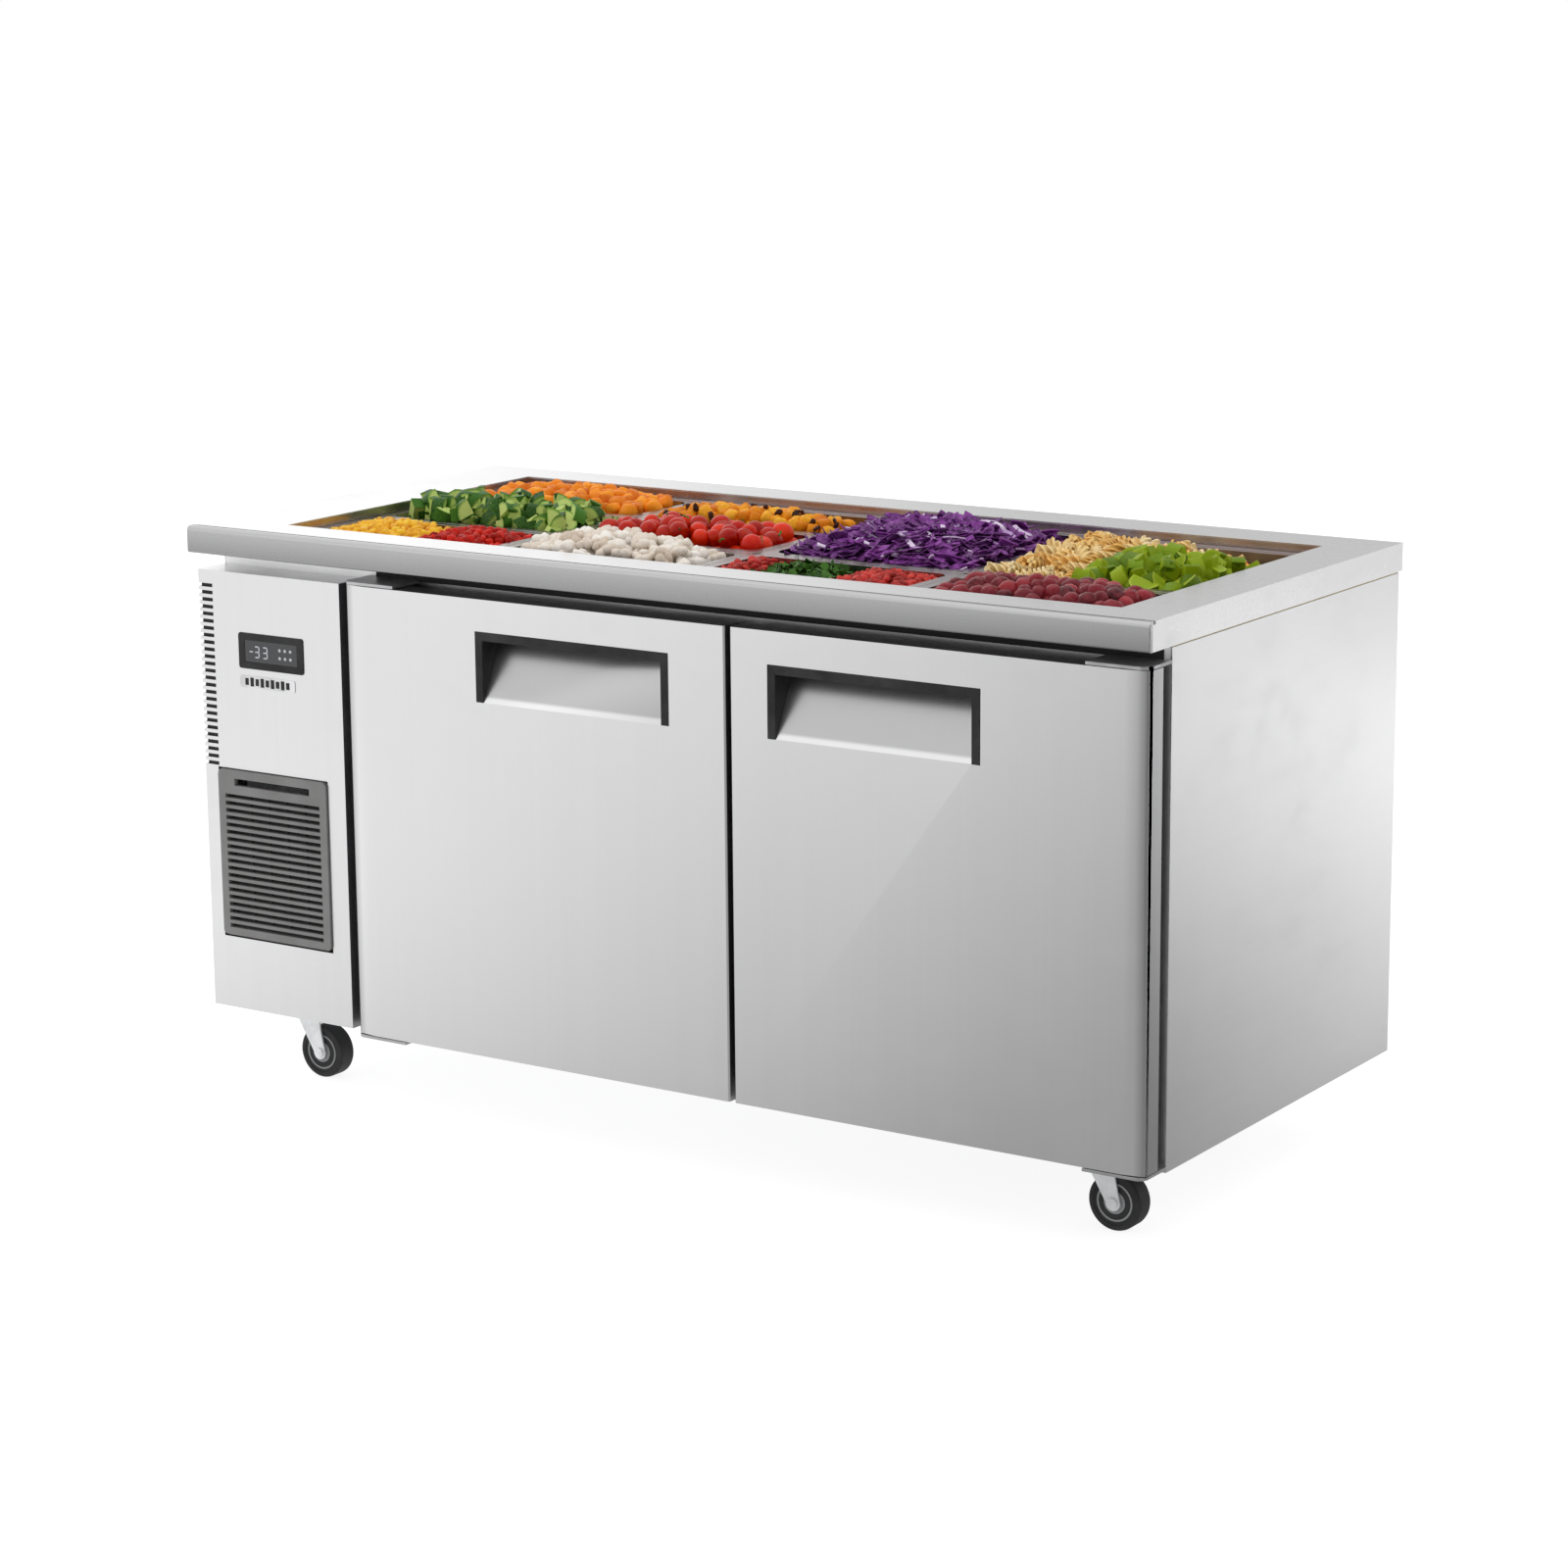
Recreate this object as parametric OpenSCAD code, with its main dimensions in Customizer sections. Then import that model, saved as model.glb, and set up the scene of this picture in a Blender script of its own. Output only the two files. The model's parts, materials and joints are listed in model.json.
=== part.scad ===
// Sandwich prep table: refrigerated two-door counter with an open pan well in its worktop.
// Frame: origin on the floor under the middle of the outer box, +Z up, front towards -Y.

/* [Overall] */
// Width over the worktop
table_w = 1500; // [1460:10:1900]
// Depth over the worktop
table_d = 700; // [680:10:900]
// Height of the worktop above the floor
table_h = 800; // [780:5:960]

/* [Worktop] */
// Height of the worktop band and nosing
nosing_h = 37.5; // [34:0.5:50]
// Thickness of the worktop sheet
top_t = 2; // [1.5:0.1:3]
// Radius of the nosing's upper shoulder
shoulder_r = 7; // [4:0.5:9]
// Distance from the front to the drip groove
groove_y = 9; // [9:0.5:14]
// Width of the drip groove
groove_w = 3; // [2:0.5:5]
// Distance from the end of the table to the end of the drip groove
groove_end = 12; // [6:1:30]
// Worktop overhang past the left side panel
left_overhang = 14; // [10:1:40]
// Worktop overhang past the right side panel
right_overhang = 2; // [2:0.5:20]
// Worktop overhang past the back panel
rear_overhang = 6; // [4:1:30]

/* [Pan well] */
// Width of one pan, across the table
pan_w = 324; // [320:1:326]
// Depth of a one-third pan, front to back
pan_d = 175; // [172:0.5:176]
// Height of a pan under its rim
pan_h = 100; // [65:5:120]
// Gap between neighbouring pans
pan_gap = 1.5; // [1:0.1:3]
// Recess of the pan ledge below the worktop
ledge_z = 14; // [10:1:20]
// Width of the well opening, front to back
well_d = 550; // [550:5:570]
// Shift of the well to the right of the table's middle
well_shift = 19; // [0:1:30]
// Width of a support bar under the rims
bar_w = 18; // [12:1:20]

/* [Cabinet] */
// Height of the underside of the cabinet
base_z = 106.6; // [100:0.1:180]
// Thickness of the cabinet's sheet metal
sheet_t = 1.5; // [1:0.1:2]
// Distance from the nosing's front to the carcass face
carcass_set = 60; // [56:1:70]
// Width of the machine compartment's cover
unit_w = 250; // [240:5:300]
// Thickness of the insulated partition
partition_t = 36; // [30:1:50]
// Thickness of the insulated back wall
back_t = 42; // [30:1:60]

/* [Doors] */
// Thickness of a door without its gasket
door_t = 36.5; // [30:0.5:44]
// Thickness of the door's outer sheet
door_sheet = 1.2; // [0.8:0.1:2]
// Gap round each door
door_gap = 8; // [7:0.5:12]
// Gap between the door tops and the nosing
door_top_gap = 22; // [14:0.5:30]
// Shift of the split between the doors to the right
split_shift = 11; // [0:1:30]
// Width of the sloping band along the hinge edge
bevel_w = 32; // [26:1:40]
// Depth of the sloping band
bevel_d = 4; // [2:0.5:6]
// Radius of the door's hinge-side corner
corner_r = 7; // [4:0.5:9]
// Distance from the hinge edge to the pin
hinge_in = 13; // [12:0.5:16]
// Distance from the door's front to the pin
hinge_back = 13; // [12:0.5:16]
// Radius of the hinge pins
pin_r = 4; // [3:0.1:5]
// Width of the magnetic gasket
gasket_w = 16; // [12:1:20]

/* [Handles] */
// Width of a recessed handle
handle_w = 310; // [200:1:330]
// Height of a recessed handle
handle_h = 95; // [80:1:120]
// Depth of a handle pocket at its top
handle_d = 46; // [35:1:52]
// Width of the black handle trim
trim_w = 12; // [8:0.5:16]
// Distance from the door's top to the handle
handle_top = 43; // [30:1:80]
// Distance from the left door's free edge to its handle's middle
left_handle_in = 242; // [200:1:300]
// Distance from the right door's free edge to its handle's middle
right_handle_in = 212; // [190:1:300]

/* [Machine compartment] */
// Width of the air grille
grille_w = 193; // [150:1:205]
// Height of the air grille
grille_h = 238; // [180:1:260]
// Height of the grille's lower edge above the cabinet's underside
grille_up = 118.4; // [80:0.1:140]
// Number of slats in the air grille
slats = 19; // [12:1:22]
// Radius of the condenser fan
fan_r = 88; // [60:1:92]
// Radius of the compressor's shell
compressor_r = 72; // [50:1:80]
// Height of the compressor's shell
compressor_h = 175; // [120:5:220]
// Number of slots in the corner louvre
louvres = 26; // [10:1:28]

/* [Casters] */
// Diameter of a caster wheel
wheel_dia = 75; // [62:0.5:76]
// Width of a caster wheel
wheel_w = 28; // [20:1:32]
// Trail of the wheel behind its swivel
trail = 22; // [15:1:26]
// Radius of the wheel's axle
axle_r = 4; // [3:0.5:6]
// Distance from the left side panel to a swivel
left_caster_in = 79; // [65:1:140]
// Distance from the right side panel to the front right swivel
right_caster_in = 121; // [60:1:160]
// Distance from the right side panel to the rear right swivel, which stands further in
rear_right_caster_in = 330; // [100:1:400]
// Distance from the front of the table to a front swivel
front_caster_in = 125; // [120:1:180]

/* [Hidden] */

$fn = 48;
eps = 0.5;
run_clear = 0.1;

// Outer planes of the table and the cabinet
x0 = -table_w / 2;
x1 = table_w / 2;
y0 = -table_d / 2;
y1 = table_d / 2;
band_z = table_h - nosing_h;
cab_x0 = x0 + left_overhang;
cab_x1 = x1 - right_overhang;
cab_y1 = y1 - rear_overhang;
panel_gap = 2;
cab_z1 = band_z - panel_gap;
face_y = y0 + carcass_set;
frame_t = 3;
frame_y1 = face_y + frame_t;

// Well opening, pan seats and pan columns
columns = 4;
seat_clear = (1304 - 4 * 324 - 3 * 1.5) / 2;
well_w = columns * pan_w + (columns - 1) * pan_gap + 2 * seat_clear;
well_x0 = well_shift - well_w / 2;
well_x1 = well_shift + well_w / 2;
rim_in = 13;
rim_t = 1.5;
pan_t = 1.2;
column_d = 3 * pan_d + 2 * pan_gap;
seat_lap = 9;
well_in_x0 = well_x0 + seat_clear + seat_lap;
well_in_x1 = well_x1 - seat_clear - seat_lap;
well_in_y = column_d / 2 - seat_lap;
seat_z = table_h - ledge_z;
well_floor_z = seat_z - pan_h - 14;
well_t = 2;

// Doors
door_proud = 1;
door_y = y0 + door_proud;
door_z0 = base_z + 9.4;
door_z1 = band_z - door_top_gap;
door_h = door_z1 - door_z0;
cover_x1 = cab_x0 + unit_w;
doors_x0 = cover_x1 + door_gap + 1;
doors_x1 = cab_x1 + 1;
split_x = (doors_x0 + doors_x1) / 2 + split_shift;
left_w = split_x - door_gap / 2 - doors_x0;
right_w = doors_x1 - split_x - door_gap / 2;
gasket_rest = 0.5;
gasket_t = carcass_set - door_proud - door_t - gasket_rest;
gasket_in = 8;
gasket_hinge_in = hinge_in + 0.3;
open_in = gasket_in + gasket_w;
open_hinge_in = open_in + 19;
plug_clear = 8;
plug_in = 14;
liner_t = 2;
bush_r = 7;
bush_h = 18;
bore_r = pin_r + run_clear;
bracket_t = 4;
bracket_gap = 1;

// Storage space
store_x0 = cover_x1 + 5 + partition_t;
store_x1 = doors_x1 - open_hinge_in + 2;
store_y1 = cab_y1 - sheet_t - back_t;
store_z0 = door_z0 + open_in - 1;
store_z1 = door_z1 - open_in + 4;
foam_x0 = cover_x1 + 5;
unit_top_z = well_floor_z - 26;

// Machine cover, grille and controller
cover_y = y0 + 4;
cover_z0 = base_z + 13.4;
grille_x = cab_x0 + 121.5;
grille_z0 = base_z + grille_up;
grille_gap = 1.5;
grille_foot = 2.5;
grille_y = y0 + 0.5;
grille_t = 13;
tilt_y = y0 + 7.5;
tilt_z = grille_z0 + 6;
tilt_r = 2.4;
grille_border = 12;
finger_h = 10;
display_w = 115;
display_h = 50;
display_x = cab_x0 + 127;
display_z = table_h - 166.5;

// Casters
wheel_r = wheel_dia / 2;
plate_t = 4;
plate_z = base_z - plate_t;
race_h = 4;
crown_z1 = plate_z - race_h - 0.4;
crown_h = 10;
crown_z0 = crown_z1 - crown_h;
king_r = 6;
leg_t = 3;
leg_y = wheel_w / 2 + 1.5;
caster_x = [cab_x0 + left_caster_in, cab_x1 - right_caster_in, cab_x1 - rear_right_caster_in];
caster_y = [y0 + front_caster_in, cab_y1 - front_caster_in + 15];
pedal_x = -31.5;
pedal_z = crown_z0 + 2;
pedal_r = 2.5;

// Refrigeration unit
tray_z = base_z + sheet_t + 3;
unit_x = (cab_x0 + cover_x1) / 2;
condenser_y = face_y + 22;
shroud_y = condenser_y + 50;
condenser_h = 2 * fan_r + 26;
condenser_top = tray_z + sheet_t + condenser_h;
shroud_h = 2 * fan_r + 34;
fan_z = tray_z + sheet_t + shroud_h / 2;
compressor_y = 40;
compressor_z = tray_z + sheet_t + 12;
compressor_top = compressor_z + compressor_h - 3;
box_h = 140;
box_z = unit_top_z - box_h - 60;
evap_x1 = store_x0 + 84;
coil_in = 6;
evap_y = 100;
evap_z = 455;
evap_d = 330;
evap_h = 300;
evap_fan_r = 58;
evap_shaft_r = 2.5;
pipe_r = 4;

steel = [0.78, 0.79, 0.80];
dark = [0.08, 0.08, 0.09];

// Box between two opposite corners
module block(a, b) {
    translate(a) cube(b - a);
}

// Flat outline with round corners, centred
module round_rect(w, d, r) {
    square([w - 2 * r, d], center = true);
    square([w, d - 2 * r], center = true);
    for (sx = [-1, 1], sy = [-1, 1])
        translate([sx * (w / 2 - r), sy * (d / 2 - r)]) circle(r);
}

// Extrudes an X-Z outline backwards from the plane y = front
module facing(front, thick) {
    translate([0, front + thick, 0]) rotate([90, 0, 0]) linear_extrude(thick) children();
}

// Extrudes a Y-Z outline along X from x = start
module along_x(start, length) {
    translate([start, 0, 0]) rotate([90, 0, 90]) linear_extrude(length) children();
}

// Points of an arc, from angle a to angle b
function arc(cx, cy, r, a, b, n = 6) =
    [for (i = [0:n]) [cx + r * cos(a + (b - a) * i / n), cy + r * sin(a + (b - a) * i / n)]];

// ---- worktop and well ----

// Cross-section of the solid worktop, with the wall taken in by inset
module top_section(inset) {
    r = shoulder_r - inset;
    c = [y0 + shoulder_r, table_h - shoulder_r];
    polygon(concat([[y1 - inset, band_z + inset]], [[y1 - inset, table_h - inset]],
        arc(c.x, c.y, r, 90, 180), arc(y0 + 3, band_z + 3, 3 - inset, 180, 270, 3)));
}

module worktop() {
    color(steel) {
        difference() {
            along_x(x0, table_w) top_section(0);
            along_x(x0 + top_t, table_w - 2 * top_t) top_section(top_t);
            block([x0 + top_t, face_y, band_z - 1], [x1 - top_t, y1 - top_t, band_z + top_t + 1]);
            block([well_x0, -well_d / 2, band_z], [well_x1, well_d / 2, table_h + 1]);
            block([x0 + groove_end, y0 + groove_y, table_h - top_t / 2],
                [x1 - groove_end, y0 + groove_y + groove_w, table_h + 1]);
        }
    }
}

module well_frame() {
    out = [well_x0 - well_t, -well_d / 2 - well_t];
    color([0.70, 0.71, 0.72]) {
        difference() {
            block([out.x, out.y, seat_z - well_t],
                [well_x1 + well_t, well_d / 2 + well_t, table_h - top_t]);
            block([well_x0, -well_d / 2, seat_z], [well_x1, well_d / 2, table_h]);
            block([well_in_x0, -well_in_y, seat_z - 10], [well_in_x1, well_in_y, table_h]);
        }
        difference() {
            block([well_in_x0 - well_t, -well_in_y - well_t, well_floor_z],
                [well_in_x1 + well_t, well_in_y + well_t, seat_z - well_t]);
            block([well_in_x0, -well_in_y, well_floor_z - 1], [well_in_x1, well_in_y, seat_z]);
        }
        block([well_in_x0 - well_t, -well_in_y - well_t, well_floor_z - well_t],
            [store_x0 - sheet_t, well_in_y + well_t, well_floor_z]);
    }
}

// X of the seam between column n and the next one
function seam_x(n) = well_x0 + seat_clear + (n + 1) * pan_w + (n + 0.5) * pan_gap;
// Y of the seam after the nth pan depth, counted from the front
function seam_y(n) = -column_d / 2 + (n + 1) * pan_d + (n + 0.5) * pan_gap;
// Number of one-third seams in each column: the last two columns hold a two-thirds pan
function column_seams(n) = n < 2 ? [0, 1] : [0];

module pan_bars() {
    bar_h = 14;
    color([0.72, 0.73, 0.74]) {
        for (n = [0:columns - 2])
            block([seam_x(n) - bar_w / 2, -well_in_y, seat_z - bar_h],
                [seam_x(n) + bar_w / 2, well_in_y, seat_z]);
        for (n = [0:columns - 1], s = column_seams(n))
            block([n == 0 ? well_in_x0 : seam_x(n - 1) + bar_w / 2, seam_y(s) - bar_w / 2, seat_z - bar_h],
                [n == columns - 1 ? well_in_x1 : seam_x(n) - bar_w / 2, seam_y(s) + bar_w / 2, seat_z]);
    }
}

// One pan: column n, first third f, and the number of thirds it spans
module pan(n, f, thirds) {
    d = thirds * pan_d + (thirds - 1) * pan_gap;
    cx = well_x0 + seat_clear + n * (pan_w + pan_gap) + pan_w / 2;
    cy = -column_d / 2 + f * (pan_d + pan_gap) + d / 2;
    body_w = pan_w - 2 * rim_in;
    body_d = d - 2 * rim_in;
    body_r = 24;
    color([0.80, 0.81, 0.82]) translate([cx, cy, seat_z - pan_h]) {
        difference() {
            union() {
                translate([0, 0, pan_h]) linear_extrude(rim_t) round_rect(pan_w, d, 10);
                linear_extrude(pan_h) round_rect(body_w, body_d, body_r);
            }
            translate([0, 0, pan_t]) linear_extrude(pan_h + rim_t)
                round_rect(body_w - 2 * pan_t, body_d - 2 * pan_t, body_r - pan_t);
        }
    }
}

// ---- cabinet shell ----

module side_panel_left() {
    color(steel) block([cab_x0, face_y, base_z], [cab_x0 + sheet_t, cab_y1, cab_z1]);
}

module side_panel_right() {
    color(steel) block([cab_x1 - sheet_t, face_y, base_z], [cab_x1, cab_y1, cab_z1]);
}

module back_panel() {
    slot_w = 70;
    slot_h = 6;
    color([0.66, 0.67, 0.68]) difference() {
        block([cab_x0 + sheet_t, cab_y1 - sheet_t, base_z], [cab_x1 - sheet_t, cab_y1, cab_z1]);
        for (i = [0:11], side = [-1, 1])
            translate([unit_x + side * (slot_w / 2 + 10) - slot_w / 2, cab_y1 - 5, base_z + 60 + i * 18])
                cube([slot_w, 10, slot_h]);
        translate([gland_x, cab_y1 + 5, gland_z]) rotate([90, 0, 0]) cylinder(h = 20, r = gland_r);
    }
}

module base_panel() {
    color([0.60, 0.61, 0.62])
        block([cab_x0 + sheet_t, frame_y1, base_z], [cab_x1 - sheet_t, cab_y1 - sheet_t, base_z + sheet_t]);
}

// Door openings in the carcass face: [left, right] of each
openings = [[doors_x0 + open_hinge_in, split_x - door_gap / 2 - open_in],
    [split_x + door_gap / 2 + open_in, doors_x1 - open_hinge_in]];

module front_frame() {
    color([0.55, 0.56, 0.57]) difference() {
        block([cab_x0 + sheet_t, face_y, base_z], [cab_x1 - sheet_t, frame_y1, band_z]);
        for (o = openings)
            block([o[0], face_y - 1, door_z0 + open_in], [o[1], frame_y1 + 1, door_z1 - open_in]);
        block([cab_x0 + 25, face_y - 1, cover_z0 + 12], [cover_x1 - 20, frame_y1 + 1, unit_top_z]);
    }
}

module inner_liner() {
    color([0.74, 0.75, 0.76]) difference() {
        block([store_x0 - sheet_t, frame_y1, store_z0 - sheet_t],
            [store_x1 + sheet_t, store_y1 + sheet_t, store_z1 + sheet_t]);
        block([store_x0, frame_y1 - 1, store_z0], [store_x1, store_y1, store_z1]);
        block([well_in_x0 - well_t, -well_in_y - well_t, well_floor_z - well_t],
            [well_in_x1 + well_t, well_in_y + well_t, store_z1 + 10]);
        suction_line(pipe_r + 1);
    }
}

module insulation() {
    color([0.93, 0.86, 0.62]) difference() {
        union() {
            block([foam_x0, frame_y1, base_z + sheet_t],
                [cab_x1 - sheet_t, cab_y1 - sheet_t, table_h - top_t]);
            block([cab_x0 + sheet_t, frame_y1, unit_top_z],
                [foam_x0 + 1, cab_y1 - sheet_t, table_h - top_t]);
        }
        block([store_x0 - sheet_t, frame_y1 - 1, store_z0 - sheet_t],
            [store_x1 + sheet_t, store_y1 + sheet_t, store_z1 + sheet_t]);
        block([well_in_x0 - well_t, -well_in_y - well_t, well_floor_z - well_t],
            [well_in_x1 + well_t, well_in_y + well_t, table_h]);
        block([well_x0 - well_t, -well_d / 2 - well_t, seat_z - well_t],
            [well_x1 + well_t, well_d / 2 + well_t, table_h]);
        suction_line(pipe_r + 1);
    }
}

// ---- machine compartment front ----

module compressor_cover() {
    t = sheet_t;
    ear = 9;
    louvre_pitch = 10;
    slot_z0 = door_z1 - 14 - louvres * louvre_pitch;
    half = grille_w / 2 + grille_gap;
    color(steel) difference() {
        union() {
            difference() {
                block([cab_x0, cover_y, cover_z0], [cover_x1, face_y, door_z1]);
                block([cab_x0 + t, cover_y + t, cover_z0 + t], [cover_x1 - t, face_y + 1, door_z1 - t]);
            }
            for (s = [-1, 1])
                block([grille_x + s * (half + ear / 2) - ear / 2, cover_y, tilt_z - ear],
                    [grille_x + s * (half + ear / 2) + ear / 2, tilt_y + ear / 2, tilt_z + ear]);
        }
        block([grille_x - half, cover_y - 1, grille_z0 - grille_foot],
            [grille_x + half, cover_y + ear, grille_z0 + grille_h + grille_gap]);
        block([display_x - 50, cover_y - 1, display_z - 19], [display_x + 50, cover_y + 5, display_z + 19]);
        for (i = [0:louvres - 1])
            translate([cab_x0 - 1, cover_y - 1, slot_z0 + i * louvre_pitch])
                cube([26, 10, louvre_pitch / 2]);
        translate([grille_x - half - ear - 1, tilt_y, tilt_z]) rotate([0, 90, 0])
            cylinder(h = 2 * (half + ear + 1), r = tilt_r + run_clear);
    }
}

module controller_housing() {
    color(dark) difference() {
        union() {
            facing(cover_y - 1.5, 1.5) translate([display_x, display_z]) round_rect(display_w, display_h, 4);
            block([display_x - 50, cover_y, display_z - 19], [display_x + 50, cover_y + 38, display_z + 19]);
        }
        block([display_x - 46, cover_y - 2, display_z - 15], [display_x + 46, cover_y + 2, display_z + 15]);
    }
}

module display_lens() {
    color([0.12, 0.13, 0.15])
        block([display_x - 46, cover_y - 1, display_z - 15], [display_x + 46, cover_y + 2, display_z + 15]);
}

module name_plate() {
    plate = [98, 17];
    color([0.5, 0.5, 0.5]) facing(cover_y - 1, 1)
        translate([display_x - 8, display_z - 43]) round_rect(plate.x, plate.y, 3);
}

module grille() {
    pitch = (grille_h - 2 * grille_border - finger_h - 8) / slats;
    slot_w = grille_w - 2 * grille_border;
    color([0.42, 0.43, 0.44]) {
        difference() {
            union() {
                facing(grille_y, grille_t)
                    translate([grille_x, grille_z0 + grille_h / 2]) round_rect(grille_w, grille_h, 8);
                for (s = [-1, 1])
                    translate([grille_x + s * grille_w / 2, tilt_y, tilt_z])
                        rotate([0, 90, 0]) cylinder(h = 16, r = tilt_r, center = true);
            }
            for (i = [0:slats - 1])
                translate([grille_x - slot_w / 2, grille_y - 1, grille_z0 + grille_border + i * pitch])
                    cube([slot_w, 9, 0.55 * pitch]);
            block([grille_x - slot_w / 2, grille_y + 7, grille_z0 + grille_border],
                [grille_x + slot_w / 2, grille_y + grille_t + 1, grille_z0 + grille_h - grille_border]);
            block([grille_x - 67, grille_y - 1, grille_z0 + grille_h - grille_border - finger_h],
                [grille_x + 67, grille_y + grille_t, grille_z0 + grille_h - grille_border]);
            along_x(grille_x - grille_w / 2 - 1, grille_w + 2)
                polygon([[grille_y - 1, grille_z0 - 1], [grille_y + 4, grille_z0 - 1],
                    [grille_y - 1, grille_z0 + 4]]);
        }
    }
}

module air_filter() {
    inner = grille_w - 2 * grille_border;
    inner_h = grille_h - 2 * grille_border - finger_h - 6;
    cell = [(inner - 6) / 5, (inner_h - 6) / 6];
    color([0.2, 0.2, 0.22]) difference() {
        block([grille_x - inner / 2, grille_y + 8.5, grille_z0 + grille_border],
            [grille_x + inner / 2, grille_y + 12, grille_z0 + grille_border + inner_h]);
        for (i = [0:4], k = [0:5])
            translate([grille_x - inner / 2, grille_y + 7, grille_z0 + grille_border])
                translate([6 + i * cell.x, 0, 6 + k * cell.y]) cube([cell.x - 6, 3.5, cell.y - 6]);
    }
}

// ---- doors ----

// Plan outline of a door: u from the free edge to the hinge edge, v from the front to the rear
module door_plan(w, inset, rear) {
    r = corner_r - inset;
    polygon(concat([[inset, rear], [inset, inset + 2], [inset + 2, inset], [w - bevel_w, inset]],
        arc(w - corner_r, bevel_d + corner_r, r, -80, 0), [[w - inset, rear]]));
}

// Places a door's own u, v, z axes: side is -1 for the left-hung door and 1 for the right-hung one
module door_place(side) {
    free_x = side < 0 ? split_x - door_gap / 2 : split_x + door_gap / 2;
    translate([free_x, door_y, door_z0]) {
        if (side < 0) mirror([1, 0, 0]) children();
        else children();
    }
}

function door_w(side) = side < 0 ? left_w : right_w;
function handle_u(side) = side < 0 ? left_handle_in : right_handle_in;
handle_z1 = door_h - handle_top;
handle_z0 = handle_z1 - handle_h;

module door_skin(side) {
    w = door_w(side);
    hu = handle_u(side);
    color(steel) door_place(side) difference() {
        union() {
            difference() {
                linear_extrude(door_h) door_plan(w, 0, door_t);
                translate([0, 0, door_sheet]) linear_extrude(door_h - 2 * door_sheet)
                    door_plan(w, door_sheet, door_t + 1);
                block([hu - handle_w / 2, -1, handle_z0], [hu + handle_w / 2, door_sheet + 1, handle_z1]);
            }
            along_x(hu - handle_w / 2 + trim_w, handle_w - 2 * trim_w)
                polygon([[0, handle_z0], [handle_d, handle_z1], [handle_d + door_sheet, handle_z1],
                    [door_sheet, handle_z0]]);
            for (z = [0, door_h - bush_h])
                translate([w - hinge_in, hinge_back, z]) cylinder(h = bush_h, r = bush_r);
        }
        for (z = [-1, door_h - bush_h - 1])
            translate([w - hinge_in, hinge_back, z]) cylinder(h = bush_h + 2, r = bore_r);
    }
}

module door_liner(side) {
    w = door_w(side);
    s = door_sheet;
    plug_v = door_t + gasket_t + gasket_rest + plug_in;
    p0 = [open_in + plug_clear, open_in + plug_clear];
    p1 = [w - open_hinge_in - plug_clear, door_h - open_in - plug_clear];
    color([0.86, 0.87, 0.88]) door_place(side) difference() {
        union() {
            block([s, door_t - liner_t, s], [w - s, door_t, door_h - s]);
            block([p0.x, door_t - liner_t, p0.y], [p1.x, plug_v, p1.y]);
        }
        block([p0.x + liner_t, door_t - liner_t - 1, p0.y + liner_t],
            [p1.x - liner_t, plug_v - liner_t, p1.y - liner_t]);
    }
}

module door_gasket(side) {
    w = door_w(side);
    color(dark) door_place(side) difference() {
        block([gasket_in, door_t, gasket_in], [w - gasket_hinge_in, door_t + gasket_t, door_h - gasket_in]);
        block([gasket_in + gasket_w, door_t - 1, gasket_in + gasket_w],
            [w - gasket_hinge_in - gasket_w, door_t + gasket_t + 1, door_h - gasket_in - gasket_w]);
    }
}

module door_handle(side) {
    hu = handle_u(side);
    color(dark) door_place(side) {
        for (u = [hu - handle_w / 2, hu + handle_w / 2 - trim_w])
            along_x(u, trim_w) polygon([[-0.8, handle_z0], [-0.8, handle_z1], [handle_d, handle_z1],
                [door_sheet, handle_z0 + 1], [door_sheet, handle_z0]]);
        block([hu - handle_w / 2 + trim_w, -0.8, handle_z1 - trim_w],
            [hu + handle_w / 2 - trim_w, handle_d * 0.8, handle_z1]);
    }
}

// Hinge bracket: z is the middle of its plate and up is the way its pin points
module hinge_bracket(side, z, up) {
    w = door_w(side);
    pin_len = 16;
    color([0.6, 0.6, 0.62]) door_place(side) translate([0, 0, z - door_z0]) {
        block([w - 86, 0, -bracket_t / 2], [w - hinge_in, carcass_set - door_proud, bracket_t / 2]);
        translate([w - hinge_in, hinge_back, -bracket_t / 2]) cylinder(h = bracket_t, r = hinge_back);
        block([w - hinge_in - eps, hinge_back, -bracket_t / 2], [w, carcass_set - door_proud, bracket_t / 2]);
        translate([w - hinge_in, hinge_back, up > 0 ? 0 : -pin_len])
            cylinder(h = pin_len, r = pin_r);
    }
}

module upper_hinge_brackets() {
    for (side = [-1, 1]) hinge_bracket(side, door_z1 + bracket_gap + bracket_t / 2, -1);
}

module lower_hinge_brackets() {
    for (side = [-1, 1]) hinge_bracket(side, door_z0 - bracket_gap - bracket_t / 2, 1);
}

// ---- storage ----

shelf_z = 395;
wire_r = 2;
rail_r = 3;
post_w = 12;
post_y = [frame_y1 + 26, store_y1 - post_w];
post_x = [evap_x1 + 6, split_x, store_x1 - post_w];

module wire_shelves() {
    wires = 15;
    y_a = post_y[0] + post_w + 4;
    y_b = post_y[1] - 4;
    color([0.85, 0.86, 0.87])
        for (b = [0, 1]) {
            xa = post_x[b] + post_w + 4 + rail_r;
            xb = post_x[b + 1] - 4 - rail_r;
            for (x = [xa, xb])
                translate([x, y_a, shelf_z]) rotate([-90, 0, 0]) cylinder(h = y_b - y_a, r = rail_r);
            for (y = [y_a + 20, y_b - 20])
                translate([xa, y, shelf_z]) rotate([0, 90, 0]) cylinder(h = xb - xa, r = rail_r);
            for (i = [1:wires])
                translate([xa + i * (xb - xa) / (wires + 1), y_a, shelf_z + rail_r - 1])
                    rotate([-90, 0, 0]) cylinder(h = y_b - y_a, r = wire_r);
        }
}

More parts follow.
